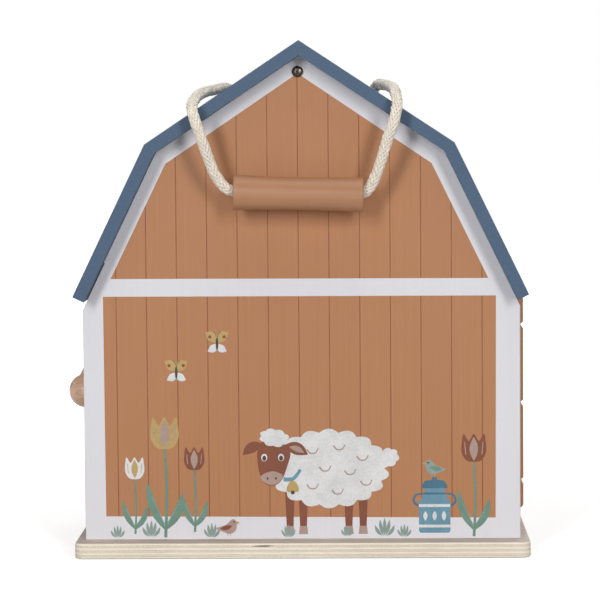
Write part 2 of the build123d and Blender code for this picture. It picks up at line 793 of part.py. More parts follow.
# Grip: a waisted wooden round, its bore flared at both ends for the bends of the rope
grip_plane = Plane(origin=(left_face + right_face) * 0.5, x_dir=grip_axis, z_dir=(0, -1, 0))
grip_bore = rope_radius + grip_bore_clearance
with BuildPart() as grip:
    with BuildSketch(grip_plane):
        with BuildLine():
            half = grip_length / 2
            flare_foot = half - grip_flare_depth
            Line((-half, grip_flare_radius), (-half, grip_end_radius))
            ThreePointArc((-half, grip_end_radius), (0, grip_waist_radius), (half, grip_end_radius))
            Polyline(
                (half, grip_end_radius),
                (half, grip_flare_radius),
                (flare_foot, grip_bore),
                (-flare_foot, grip_bore),
                (-half, grip_flare_radius),
            )
        make_face()
    revolve(axis=Axis(grip_plane.origin, grip_plane.x_dir))
    end_rims = grip.edges().filter_by(GeomType.CIRCLE).filter_by(lambda rim: rim.radius > grip_waist_radius)
    fillet(end_rims, grip_end_round)
finish(grip, "grip")
with BuildPart() as rope_in_grip:
    with BuildSketch(Plane(origin=left_end, z_dir=grip_axis)):
        Circle(rope_radius)
    extrude(amount=grip_length - 2 * rope_entry)
finish(rope_in_grip, "rope_in_grip")
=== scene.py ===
import functools
import logging
import math
from dataclasses import dataclass, field
from enum import Enum
from typing import Any, Protocol, Sequence

import bmesh
import bpy
from mathutils import Matrix, Vector
from mathutils.geometry import tessellate_polygon


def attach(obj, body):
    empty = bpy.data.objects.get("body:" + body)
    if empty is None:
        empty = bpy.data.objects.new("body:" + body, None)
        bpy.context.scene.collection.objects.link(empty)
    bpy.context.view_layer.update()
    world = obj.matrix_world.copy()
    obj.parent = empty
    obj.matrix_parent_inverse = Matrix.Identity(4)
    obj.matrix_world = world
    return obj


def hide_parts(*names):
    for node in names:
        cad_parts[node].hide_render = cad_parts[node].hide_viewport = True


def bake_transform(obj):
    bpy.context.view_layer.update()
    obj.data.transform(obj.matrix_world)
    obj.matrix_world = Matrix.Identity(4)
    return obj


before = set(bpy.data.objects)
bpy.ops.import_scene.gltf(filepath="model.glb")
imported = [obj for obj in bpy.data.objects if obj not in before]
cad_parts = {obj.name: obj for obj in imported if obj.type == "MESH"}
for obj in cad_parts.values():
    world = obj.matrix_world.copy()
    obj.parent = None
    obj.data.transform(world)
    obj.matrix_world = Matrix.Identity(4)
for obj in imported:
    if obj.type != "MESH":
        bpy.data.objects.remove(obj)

log = logging.getLogger("farmhouse")

MM = 0.001
HOUSE = "house"
BRAID_STEP = 0.55 * MM
SLACK_SCALE = 160.0
SLACK_SHARE = 1.9
Point = tuple[float, float]
Value = Any


class Tone(Enum):
    """Colours of the toy, as 8-bit screen values."""

    PLANK = (182, 125, 83)
    PLANK_LINE = (136, 78, 42)
    WHITE = (228, 227, 232)
    SLATE = (82, 103, 127)
    TAN = (178, 127, 91)
    COTTON = (253, 243, 228)
    BIRCH = (254, 245, 228)
    BIRCH_CORE = (240, 226, 206)
    # Veneer tone of the base board, darkened and greyed to paint in the shade on its top: partly the wood's
    # own tone, partly painted shade.
    BIRCH_FACE = (208, 194, 182)
    BEECH = (222, 182, 152)
    BRONZE = (98, 82, 74)
    ZINC = (182, 182, 184)
    RUST = (131, 71, 46)
    MUSTARD = (190, 160, 100)
    SKY = (104, 151, 172)
    DEEP_SKY = (68, 113, 136)
    TEAL = (108, 144, 128)
    SAGE = (141, 160, 154)
    MAUVE = (176, 150, 138)
    CREAM = (226, 226, 226)
    INK = (66, 54, 50)

    @property
    def linear(self) -> tuple[float, float, float, float]:
        """The colour in linear light, with alpha."""
        parts = [c / 255 for c in self.value]
        red, green, blue = [c / 12.92 if c <= 0.04045 else ((c + 0.055) / 1.055) ** 2.4 for c in parts]
        return red, green, blue, 1.0

    def shaded(self, share: float) -> tuple[float, float, float, float]:
        """The linear colour made lighter or darker.

        Args:
            share: what each channel is multiplied by.

        Returns:
            The colour with alpha 1.
        """
        red, green, blue, alpha = self.linear
        return min(red * share, 1.0), min(green * share, 1.0), min(blue * share, 1.0), alpha


class Run(Enum):
    """The direction that wood grain runs in."""

    X = 0
    Y = 1
    Z = 2


class Nodes:
    """Writes nodes into a tree."""

    def __init__(self, tree: bpy.types.NodeTree) -> None:
        """Takes a tree to write in.

        Args:
            tree: the tree.
        """
        self.tree = tree

    def node(self, kind: str, values: dict[Any, Value] | None = None, **settings: Any) -> bpy.types.Node:
        """Adds a node.

        Args:
            kind: the node's type.
            values: numbers or sockets for its inputs, by name or index.
            **settings: the node's own settings.

        Returns:
            The node.
        """
        node = self.tree.nodes.new(kind)
        for key, setting in settings.items():
            setattr(node, key, setting)
        for key, value in (values or {}).items():
            if isinstance(value, bpy.types.NodeSocket):
                self.tree.links.new(value, node.inputs[key])
            else:
                node.inputs[key].default_value = value
        return node

    def math(self, operation: str, first: Value, second: Value = 0.0, third: Value = 0.0) -> Value:
        """Adds one step of arithmetic and returns its result."""
        values = {0: first, 1: second, 2: third}
        return self.node("ShaderNodeMath", values, operation=operation).outputs[0]

    def vector(self, operation: str, values: dict[Any, Value]) -> Value:
        """Adds one step of vector arithmetic and returns its vector."""
        return self.node("ShaderNodeVectorMath", values, operation=operation).outputs[0]


class Graph(Nodes):
    """Writes the node tree of one material."""

    def __init__(self, name: str) -> None:
        """Starts an empty material.

        Args:
            name: the material's name.
        """
        self.material = bpy.data.materials.new(name)
        self.material.use_nodes = True
        super().__init__(self.material.node_tree)
        self.tree.nodes.clear()
        self.place = self.node("ShaderNodeTexCoord").outputs["Object"]

    def hypot(self, first: Value, second: Value) -> Value:
        """The length of a vector with two components."""
        squares = [self.math("MULTIPLY", side, side) for side in (first, second)]
        return self.math("SQRT", self.math("ADD", *squares))

    def axis(self, index: int) -> Value:
        """One coordinate of the surface point, in metres."""
        return self.node("ShaderNodeSeparateXYZ", {0: self.place}).outputs[index]

    def span(self, value: Value, low: float, high: float, first: float = 0.0, last: float = 1.0) -> Value:
        """Maps a value from one range to another, smoothly and clamped.

        Args:
            value: the socket to map.
            low: where the range starts.
            high: where it ends.
            first: the result at low.
            last: the result at high.

        Returns:
            The mapped value's socket.
        """
        values = {0: value, 1: low, 2: high, 3: first, 4: last}
        return self.node("ShaderNodeMapRange", values, interpolation_type="SMOOTHSTEP").outputs[0]

    def noise(self, stretch: Sequence[float], detail: float = 2.0, shift: float = 0.0) -> Value:
        """Noise whose features have the given frequency along each axis.

        Args:
            stretch: features per metre along X, Y and Z.
            detail: how many finer layers it has.
            shift: moves the pattern, so that two finishes differ.

        Returns:
            The noise, about 0.3 to 0.7, as a socket.
        """
        mapping = self.node("ShaderNodeMapping", {0: self.place, 1: (shift, shift, shift), 3: tuple(stretch)})
        values = {"Vector": mapping.outputs[0], "Scale": 1.0, "Detail": detail, "Roughness": 0.55}
        return self.node("ShaderNodeTexNoise", values).outputs[0]

    def mix(self, share: Value, first: Value, second: Value, blend: str = "MIX") -> Value:
        """Mixes two colours by a share from 0 to 1."""
        node = self.node("ShaderNodeMix", {0: share, 6: first, 7: second}, data_type="RGBA", blend_type=blend)
        return node.outputs[2]

    def bump(self, height: Value, depth: float, strength: float = 1.0) -> Value:
        """A normal from a height, with the relief's depth in metres."""
        values = {"Height": height, "Distance": depth, "Strength": strength}
        return self.node("ShaderNodeBump", values).outputs[0]

    def outside(self, corners: Sequence[Point]) -> Value:
        """Distance outside a convex outline in X and Z, negative inside.

        Args:
            corners: the outline's corners in millimetres, anticlockwise.

        Returns:
            The distance in metres, as a socket.
        """
        furthest: Value = None
        for (x0, z0), (x1, z1) in zip(corners, list(corners[1:]) + [corners[0]]):
            length = math.hypot(x1 - x0, z1 - z0)
            out_x, out_z = (z1 - z0) / length, (x0 - x1) / length
            values = {0: self.place, 1: (out_x, 0, out_z)}
            dot = self.node("ShaderNodeVectorMath", values, operation="DOT_PRODUCT")
            side = self.math("SUBTRACT", dot.outputs["Value"], (out_x * x0 + out_z * z0) * MM)
            furthest = side if furthest is None else self.math("MAXIMUM", furthest, side)
        return furthest

    def finish(self, values: dict[str, Value]) -> bpy.types.Material:
        """Ends the tree in a Principled shader.

        Args:
            values: the shader's inputs.

        Returns:
            The material.
        """
        shader = self.node("ShaderNodeBsdfPrincipled", values)
        self.node("ShaderNodeOutputMaterial", {0: shader.outputs[0]})
        return self.material


class Finish(Protocol):
    """What every finish can do."""

    def make(self) -> bpy.types.Material:
        """Builds the finish's material."""


@functools.cache
def material_of(finish: Finish) -> bpy.types.Material:
    """A finish's material, built once."""
    return finish.make()


def grain_stretch(run: Run, fine: float, long: float) -> tuple[float, float, float]:
    """Noise frequencies for grain that runs along one axis.

    Args:
        run: the grain's direction.
        fine: features per metre across it.
        long: features per metre along it.

    Returns:
        The frequencies along X, Y and Z.
    """
    stretch = [fine, fine, fine]
    stretch[run.value] = long
    return stretch[0], stretch[1], stretch[2]


@dataclass(frozen=True)
class PaintedWood:
    """Satin paint, through which the wood's grain still shows faintly."""

    name: str
    tone: Tone
    run: Run = Run.Z
    streak: float = 0.05
    roughness: float = 0.5
    sheen: float = 0.4

    def make(self) -> bpy.types.Material:
        """Builds the material."""
        g = Graph(self.name)
        grain = g.noise(grain_stretch(self.run, 900, 22), 3.0)
        cloud = g.noise((28, 28, 28), 3.0, 3.1)
        share = g.math("MULTIPLY_ADD", grain, 0.65, g.math("MULTIPLY", cloud, 0.35))
        colour = g.mix(
            g.span(share, 0.34, 0.66), self.tone.shaded(1 - self.streak), self.tone.shaded(1 + self.streak)
        )
        peel = g.noise((1500, 1500, 1500), 2.0, 5.0)
        height = g.math("MULTIPLY_ADD", peel, 0.4, grain)
        gloss = g.span(cloud, 0.3, 0.7, self.roughness - 0.05, self.roughness + 0.07)
        return g.finish(
            {
                "Base Color": colour,
                "Roughness": gloss,
                "Normal": g.bump(height, 0.00004),
                "Specular IOR Level": self.sheen,
            }
        )


@dataclass(frozen=True)
class PlankPaint:
    """Paint with plank lines, inside white frames where fields are given."""

    name: str
    across: Run = Run.X
    pitch: float = 17.0
    shift: float = -1.2
    fields: tuple[tuple[Point, ...], ...] = ()
    trims: tuple[tuple[Point, ...], ...] = ()
    print_side: int = 0
    face: float = 76.0
    line_half_width: float = 0.19

    def make(self) -> bpy.types.Material:
        """Builds the material."""
        g = Graph(self.name)
        run = Run.Z if self.across != Run.Z else Run.Y
        at = g.math("DIVIDE", g.math("SUBTRACT", g.axis(self.across.value), self.shift * MM), self.pitch * MM)
        off_line = g.math("ABSOLUTE", g.math("SUBTRACT", g.math("FRACT", g.math("ADD", at, 40.5)), 0.5))
        off_line = g.math("MULTIPLY", off_line, self.pitch * MM)
        number = g.math("FLOOR", at)
        plank = g.node("ShaderNodeTexWhiteNoise", {"W": number}, noise_dimensions="1D").outputs[0]
        grain = g.noise(grain_stretch(run, 1100, 14), 3.0)
        cloud = g.noise((24, 24, 24), 3.0, 1.7)
        share = g.math("MULTIPLY_ADD", grain, 0.6, g.math("MULTIPLY", cloud, 0.4))
        share = g.math("MULTIPLY_ADD", plank, 0.12, g.math("SUBTRACT", share, 0.06))
        paint = g.mix(g.span(share, 0.33, 0.67), Tone.PLANK.shaded(0.97), Tone.PLANK.shaded(1.03))
        line = g.span(off_line, self.line_half_width * MM, (self.line_half_width + 0.16) * MM, 1.0, 0.0)
        worn = g.span(g.noise(grain_stretch(run, 300, 60), 2.0, 9.0), 0.3, 0.6, 0.75, 1.0)
        line = g.math("MULTIPLY", line, worn)
        colour = g.mix(line, paint, Tone.PLANK_LINE.linear)
        height = g.math("SUBTRACT", g.math("MULTIPLY", grain, 0.3), g.math("MULTIPLY", line, 0.7))
        if self.fields:
            bare = None
            for corners in self.fields:
                side = g.outside(corners)
                bare = side if bare is None else g.math("MINIMUM", bare, side)
            for corners in self.trims:
                bare = g.math("MAXIMUM", bare, g.math("MULTIPLY", g.outside(corners), -1.0))
            inside = g.span(bare, -0.06 * MM, 0.06 * MM, 1.0, 0.0)
            depth = g.math("MULTIPLY", g.axis(1), float(self.print_side))
            inside = g.math("MULTIPLY", inside, g.span(depth, (self.face - 0.6) * MM, (self.face - 0.4) * MM))
            white = g.mix(g.span(share, 0.33, 0.67), Tone.WHITE.shaded(0.988), Tone.WHITE.shaded(1.01))
            colour = g.mix(inside, white, colour)
            height = g.math("MULTIPLY", height, inside)
        gloss = g.span(cloud, 0.3, 0.7, 0.46, 0.58)
        return g.finish({"Base Color": colour, "Roughness": gloss, "Normal": g.bump(height, 0.00006)})


@dataclass(frozen=True)
class Plywood:
    """Clear-coated birch plywood: plies on its edges, veneer on its faces."""

    name: str
    thickness: float
    bottom: float
    plies: int = 7
    face: Tone = Tone.BIRCH_FACE

    def make(self) -> bpy.types.Material:
        """Builds the material."""
        g = Graph(self.name)
        ply = self.thickness / self.plies * MM
        warp = g.math("MULTIPLY", g.math("SUBTRACT", g.noise((60, 60, 10), 2.0, 4.0), 0.5), 0.25)
        level = g.math("DIVIDE", g.math("SUBTRACT", g.axis(2), self.bottom * MM), ply)
        level = g.math("ADD", level, warp)
        odd = g.math("MODULO", g.math("FLOOR", level), 2.0)
        pores = g.noise((1800, 1800, 900), 2.0, 2.0)
        long_grain = g.noise((120, 120, 2600), 3.0, 7.0)
        light = g.mix(g.span(long_grain, 0.3, 0.7), Tone.BIRCH.shaded(0.9), Tone.BIRCH.shaded(1.02))
        core = g.mix(g.span(pores, 0.3, 0.7), Tone.BIRCH_CORE.shaded(0.82), Tone.BIRCH_CORE.shaded(1.04))
        edge = g.mix(odd, light, core)
        glue = g.math("ABSOLUTE", g.math("SUBTRACT", g.math("FRACT", g.math("ADD", level, 0.5)), 0.5))
        dark = g.span(glue, 0.02, 0.14, 1.0, 0.0)
        dark = g.math("MULTIPLY", dark, g.span(g.noise((30, 30, 30), 2.0), 0.34, 0.66))
        edge = g.mix(g.math("MULTIPLY", dark, 0.5), edge, (0.36, 0.27, 0.2, 1))
        flaw = g.span(g.noise((34, 34, 420), 2.0, 11.3), 0.71, 0.78)
        edge = g.mix(g.math("MULTIPLY", flaw, 0.85), edge, (0.09, 0.05, 0.035, 1))
        veneer_grain = g.noise((9, 420, 420), 4.0, 6.0)
        # With the default face tone, this veneer colour carries painted shade.
        veneer = g.mix(g.span(veneer_grain, 0.3, 0.72), self.face.shaded(0.86), self.face.shaded(1.08))
        up = g.node("ShaderNodeSeparateXYZ", {0: g.node("ShaderNodeTexCoord").outputs["Normal"]}).outputs[2]
        flat = g.span(g.math("ABSOLUTE", up), 0.6, 0.8)
        colour = g.mix(flat, edge, veneer)
        height = g.math("ADD", g.math("MULTIPLY", pores, 0.5), g.math("MULTIPLY", dark, -0.6))
        gloss = g.span(pores, 0.3, 0.7, 0.58, 0.7)
        return g.finish(
            {
                "Base Color": colour,
                "Roughness": gloss,
                "Normal": g.bump(height, 0.00005),
                "Specular IOR Level": 0.15,
            }
        )


@dataclass(frozen=True)
class BareWood:
    """Clear-coated solid wood with rings and rays."""

    name: str
    tone: Tone = Tone.BEECH
    run: Run = Run.X
    roughness: float = 0.4

    def make(self) -> bpy.types.Material:
        """Builds the material."""
        g = Graph(self.name)
        bands = g.noise(grain_stretch(self.run, 130, 8), 2.0)
        rings = g.math("FRACT", g.math("MULTIPLY", bands, 7.0))
        rings = g.span(g.math("ABSOLUTE", g.math("SUBTRACT", rings, 0.5)), 0.0, 0.5)
        fibre = g.noise(grain_stretch(self.run, 1700, 70), 3.0, 3.0)
        share = g.math("MULTIPLY_ADD", rings, 0.2, g.math("MULTIPLY", fibre, 0.8))
        colour = g.mix(g.span(share, 0.25, 0.72), self.tone.shaded(0.78), self.tone.shaded(1.1))
        gloss = g.span(fibre, 0.3, 0.7, self.roughness, self.roughness + 0.14)
        return g.finish(
            {"Base Color": colour, "Roughness": gloss, "Normal": g.bump(fibre, 0.00005), "Coat Weight": 0.15}
        )


@dataclass(frozen=True)
class CottonYarn:
    """Undyed soft cotton."""

    name: str = "cotton_yarn"

    def make(self) -> bpy.types.Material:
        """Builds the material."""
        g = Graph(self.name)
        fuzz = g.noise((2600, 2600, 2600), 3.0)
        patch = g.noise((300, 300, 300), 2.0, 8.0)
        share = g.math("MULTIPLY_ADD", fuzz, 0.5, g.math("MULTIPLY", patch, 0.5))
        colour = g.mix(g.span(share, 0.35, 0.65), Tone.COTTON.shaded(0.86), Tone.COTTON.shaded(1.0))
        speck = g.span(g.noise((760, 760, 760), 2.0, 21.0), 0.66, 0.74)
        colour = g.mix(g.math("MULTIPLY", speck, 0.6), colour, (0.4, 0.22, 0.12, 1))
        return g.finish(
            {
                "Base Color": colour,
                "Roughness": g.span(fuzz, 0.3, 0.7, 0.85, 0.98),
                "Normal": g.bump(fuzz, 0.00016),
                "Sheen Weight": 0.25,
                "Specular IOR Level": 0.2,
            }
        )


@dataclass(frozen=True)
class PlatedSteel:
    """Plated steel with a fine brushed wear."""

    name: str
    tone: Tone
    roughness: float = 0.36

    def make(self) -> bpy.types.Material:
        """Builds the material."""
        g = Graph(self.name)
        wear = g.noise((700, 700, 700), 4.0)
        colour = g.mix(g.span(wear, 0.35, 0.7), self.tone.shaded(0.8), self.tone.shaded(1.2))
        gloss = g.span(wear, 0.3, 0.7, self.roughness - 0.08, self.roughness + 0.12)
        return g.finish(
            {"Base Color": colour, "Metallic": 1.0, "Roughness": gloss, "Normal": g.bump(wear, 0.00002)}
        )


@dataclass(frozen=True)
class PaintedGlintBolt:
    """Browned steel with a painted highlight ring on its flat, between a painted dark rim and painted shade
    in the socket.
    """

    name: str
    centre: Point
    socket: float
    rim: float

    def make(self) -> bpy.types.Material:
        """Builds the material."""
        g = Graph(self.name)
        across = g.math("SUBTRACT", g.axis(0), self.centre[0] * MM)
        above = g.math("SUBTRACT", g.axis(2), self.centre[1] * MM)
        away = g.hypot(across, above)
        wear = g.noise((900, 900, 900), 3.0)
        # The noise also jitters the edges of the painted highlight ring.
        away = g.math("MULTIPLY_ADD", g.math("SUBTRACT", wear, 0.5), 0.8 * MM, away)
        # Painted highlight: the ring between socket and rim is lit in patches, while the socket and the rim
        # keep a dark colour as painted shade.
        bright = g.math(
            "MULTIPLY",
            g.span(away, (self.socket - 0.15) * MM, (self.socket + 0.15) * MM),
            g.span(away, (self.rim - 0.3) * MM, (self.rim + 0.2) * MM, 1.0, 0.0),
        )
        glint_patches = g.span(g.noise((420, 420, 420), 1.0, 2.5), 0.48, 0.64)
        painted_glint = g.mix(glint_patches, Tone.BRONZE.shaded(0.5), (0.3, 0.27, 0.23, 1))
        colour = g.mix(bright, Tone.BRONZE.shaded(0.4), painted_glint)
        return g.finish(
            {
                "Base Color": colour,
                "Metallic": 1.0,
                "Roughness": g.span(wear, 0.3, 0.7, 0.26, 0.5),
                "Normal": g.bump(wear, 0.00003),
            }
        )


@dataclass(frozen=True)
class PrintInk:
    """Matt printing ink, a little uneven where the paint below takes it."""

    tone: Tone

    def make(self) -> bpy.types.Material:
        """Builds the material."""
        g = Graph(f"ink_{self.tone.name.lower()}")
        speckle = g.noise((900, 900, 900), 3.0)
        wash = g.noise((110, 110, 110), 2.0, 2.0)
        share = g.math("MULTIPLY_ADD", speckle, 0.5, g.math("MULTIPLY", wash, 0.5))
        colour = g.mix(g.span(share, 0.34, 0.66), self.tone.shaded(0.9), self.tone.shaded(1.07))
        gloss = g.span(speckle, 0.3, 0.7, 0.48, 0.6)
        return g.finish({"Base Color": colour, "Roughness": gloss, "Normal": g.bump(speckle, 0.00003)})


UPPER_FIELD = ((-106.1, 155.6), (104.3, 154.9), (73.0, 219.0), (-0.9, 269.1), (-74.8, 219.5))
LOWER_FIELD = ((-110.3, 22.0), (108.1, 20.5), (108.5, 145.2), (-110.5, 145.7))
FRONT_UPPER_FIELD = ((-105.0, 155.5), (105.0, 155.5), (74.1, 219.2), (0.0, 267.8), (-74.1, 219.2))
FRONT_LOWER_FIELD = ((-110.0, 21.5), (110.0, 21.5), (110.0, 145.7), (-110.0, 145.7))
DOOR_TRIM = ((-67.0, 0.0), (67.0, 0.0), (67.0, 133.0), (-67.0, 133.0))
WINDOW_TRIM = ((-31.0, 164.0), (31.0, 164.0), (31.0, 221.0), (-31.0, 221.0))

ROOF_SEAMS = (
    (0.0, 287.1), (0.0, 278.70), (85.3, 230.6), (79.84, 225.82), (-85.3, 230.6), (-79.84, 225.82),
)

BACK_PRINT = PlankPaint("back_wall_print", fields=(UPPER_FIELD, LOWER_FIELD), print_side=-1)
FRONT_PRINT = PlankPaint(
    "front_wall_print",
    shift=0.0,
    fields=(FRONT_UPPER_FIELD, FRONT_LOWER_FIELD),
    trims=(DOOR_TRIM, WINDOW_TRIM),
    print_side=1,
)
WHITE_PAINT = PaintedWood("white_paint", Tone.WHITE, Run.Y, streak=0.013)
WHITE_TRIM = PaintedWood("white_trim_paint", Tone.WHITE, Run.Z, streak=0.013)
ROOF_PAINT = PaintedWood("roof_paint", Tone.SLATE, Run.Y, streak=0.09, roughness=0.6, sheen=0.22)
GRIP_PAINT = PaintedWood("grip_paint", Tone.TAN, Run.X, streak=0.03, roughness=0.36, sheen=0.6)
FRONT_DOOR_PAINT = PlankPaint("front_door_paint", shift=0.0, pitch=13.5)
SIDE_DOOR_PAINT = PlankPaint("side_door_paint", across=Run.Y, shift=-51.0, pitch=18.0)
BOARDING_PAINT = PaintedWood("boarding_paint", Tone.PLANK, Run.Y, streak=0.06)
BASE_PLY = Plywood("base_plywood", 9.0, 0.0)
LOFT_PLY = Plywood("loft_plywood", 6.0, 146.0, 5, Tone.BIRCH)
BATTEN_WOOD = BareWood("batten_wood", Tone.BIRCH, Run.Z)
RAIL_WOOD = BareWood("rail_wood", Tone.BIRCH, Run.Y)
KNOB_WOOD = BareWood("knob_wood", Tone.BEECH, Run.X, roughness=0.26)
COTTON = CottonYarn()
BOLT_STEEL = PaintedGlintBolt("bronze_plate", (-0.9, 270.0), 0.7, 2.1)
ZINC = PlatedSteel("zinc_plate", Tone.ZINC, 0.3)


def add_piece(
    name: str, mesh: bpy.types.Mesh, finishes: Sequence[Finish], body: str | None
) -> bpy.types.Object:
    """Puts a mesh in the scene as a piece.

    Args:
        name: the piece's name.
        mesh: its mesh, in the frame of the CAD, in metres.
        finishes: its finishes, one per material index; none where the mesh already has them.
        body: the body that it rides on, or None where it rides on none.

    Returns:
        The piece.
    """
    mesh.name = name
    piece = bpy.data.objects.new(name, mesh)
    bpy.context.scene.collection.objects.link(piece)
    if finishes:
        if mesh.materials:
            mesh.materials.clear()
        for finish in finishes:
            mesh.materials.append(material_of(finish))
    if body:
        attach(piece, body)
    log.info("piece %s: %d faces", name, len(mesh.polygons))
    return piece


def shade(mesh: bpy.types.Mesh, angle: float) -> None:
    """Shades faces that meet below an angle, in degrees, as one surface."""
    mesh.polygons.foreach_set("use_smooth", [True] * len(mesh.polygons))
    mesh.set_sharp_from_angle(angle=math.radians(angle))


def redress(node: str, finish: Finish) -> None:
    """Gives a CAD node that shows as it is a finish."""
    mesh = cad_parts[node].data
    mesh.materials.clear()
    mesh.materials.append(material_of(finish))


def mesh_from(shape: bmesh.types.BMesh, name: str, smooth: float | None = 35.0) -> bpy.types.Mesh:
    """Turns a bmesh into a mesh.

    Args:
        shape: the bmesh, which is freed.
        name: the mesh's name.
        smooth: the angle in degrees below which faces are shaded as one, or None for flat.

    Returns:
        The mesh.
    """
    mesh = bpy.data.meshes.new(name)
    shape.to_mesh(mesh)
    shape.free()
    if smooth is not None:
        shade(mesh, smooth)
    return mesh


def evaluated(piece: bpy.types.Object) -> bpy.types.Mesh:
    """A plain mesh of an object with its modifiers; the object is removed."""
    bpy.context.view_layer.update()
    graph = bpy.context.evaluated_depsgraph_get()
    mesh = bpy.data.meshes.new_from_object(piece.evaluated_get(graph), depsgraph=graph)
    bpy.data.objects.remove(piece)
    return mesh


def ease(shape: bmesh.types.BMesh, seams: Sequence[Point]) -> None:
    """Marks the edges that a bevel rounds: every sharp one that isn't in a seam.

    Args:
        shape: the board.
        seams: corners in X and Z where the board meets its neighbour, in millimetres.
    """
    layer = shape.edges.layers.float.new("bevel_weight_edge")
    for edge in shape.edges:
        closed = all(
            any(math.hypot(v.co.x / MM - x, v.co.z / MM - z) < 0.5 for x, z in seams) for v in edge.verts
        )
        if not closed and len(edge.link_faces) == 2 and edge.calc_face_angle() > math.radians(32):
            edge[layer] = 1.0


def soften(
    node: str, finish: Finish, body: str, width: float = 0.45, seams: Sequence[Point] = ()
) -> bpy.types.Object:
    """A copy of a board with its sharp edges eased, standing for the CAD node.

    Args:
        node: the CAD node.
        finish: its finish.
        body: the body that it rides on.
        width: how much of each edge is eased, in millimetres.
        seams: corners in X and Z that stay sharp.

    Returns:
        The piece.
    """
    shape = bmesh.new()
    shape.from_mesh(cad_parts[node].data)
    bmesh.ops.remove_doubles(shape, verts=shape.verts, dist=0.005 * MM)
    bmesh.ops.dissolve_limit(shape, angle_limit=math.radians(0.5), verts=shape.verts, edges=shape.edges)
    ease(shape, seams)
    piece = add_piece(f"{node}_board", mesh_from(shape, node, 30.0), [finish], body)
    bevel = piece.modifiers.new("eased edges", "BEVEL")
    bevel.width = width * MM
    bevel.segments = 3
    bevel.limit_method = "WEIGHT"
    weigh = piece.modifiers.new("even shading", "WEIGHTED_NORMAL")
    weigh.keep_sharp = True
    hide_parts(node)
    return piece


def turned(
    profile: Sequence[Point], foot: Sequence[float], along: Sequence[float], steps: int = 64
) -> bmesh.types.BMesh:
    """A shape turned on a lathe.

    Args:
        profile: the section, as millimetres along the axis and out from it; a closed loop, or open
            between two points on the axis.
        foot: the axis's starting point in millimetres.
        along: the axis's direction.
        steps: how many facets go round.

    Returns:
        The shape, in metres, with its faces outwards.
    """
    shape = bmesh.new()
    turn = Vector((0, 0, 1)).rotation_difference(Vector(along).normalized()).to_matrix()
    rings = []
    for distance, radius in profile:
        ring = []
        for i in range(steps):
            angle = 2 * math.pi * i / steps
            point = turn @ Vector((radius * math.cos(angle), radius * math.sin(angle), distance))
            ring.append(shape.verts.new((point + Vector(foot)) * MM))
        rings.append(ring)
    closed = profile[0][1] > 0 and profile[-1][1] > 0
    pairs = list(zip(rings, rings[1:])) + ([(rings[-1], rings[0])] if closed else [])
    for lower, upper in pairs:
        for i in range(steps):
            j = (i + 1) % steps
            shape.faces.new((lower[i], lower[j], upper[j], upper[i]))
    bmesh.ops.remove_doubles(shape, verts=shape.verts, dist=0.0005 * MM)
    bmesh.ops.recalc_face_normals(shape, faces=shape.faces)
    return shape


def corner_arc(centre: Point, radius: float, start: float, end: float, steps: int = 5) -> list[Point]:
    """Points on an arc of a section.

    Args:
        centre: its centre.
        radius: its radius.
        start: its first angle in degrees.
        end: its last angle in degrees.
        steps: how many runs it has.

    Returns:
        The points.
    """
    angles = [math.radians(start + (end - start) * i / steps) for i in range(steps + 1)]
    return [(centre[0] + radius * math.cos(a), centre[1] + radius * math.sin(a)) for a in angles]


def prism(shape: bmesh.types.BMesh, outline: Sequence[Vector], depth: Vector, index: int = 0) -> None:
    """Adds a closed plate to a bmesh.

    Args:
        shape: the bmesh.
        outline: the plate's outline.
        depth: from that outline to the plate's other side.
        index: its material index.
    """
    lower = [shape.verts.new(point) for point in outline]
    upper = [shape.verts.new(point + depth) for point in outline]
    faces = []
    for i, j, k in tessellate_polygon([outline]):
        faces.append(shape.faces.new((lower[i], lower[j], lower[k])))
        faces.append(shape.faces.new((upper[k], upper[j], upper[i])))
    for i in range(len(outline)):
        j = (i + 1) % len(outline)
        faces.append(shape.faces.new((lower[i], upper[i], upper[j], lower[j])))
    for face in faces:
        face.material_index = index
    bmesh.ops.recalc_face_normals(shape, faces=faces)


def cut_out(body: bmesh.types.BMesh, tool: bmesh.types.BMesh, name: str) -> bpy.types.Mesh:
    """Cuts one closed shape out of another.

    Args:
        body: the shape that is cut.
        tool: the shape that is taken out.
        name: the result's name.

    Returns:
        The mesh.
    """
    main = bpy.data.objects.new("cut_body", mesh_from(body, name))
    knife = bpy.data.objects.new("cut_tool", mesh_from(tool, "cut_tool"))
    for item in (main, knife):
        bpy.context.scene.collection.objects.link(item)
    step = main.modifiers.new("cut", "BOOLEAN")
    step.operation = "DIFFERENCE"
    step.object = knife
    step.solver = "EXACT"
    mesh = evaluated(main)
    bpy.data.objects.remove(knife)
    shade(mesh, 35.0)
    return mesh


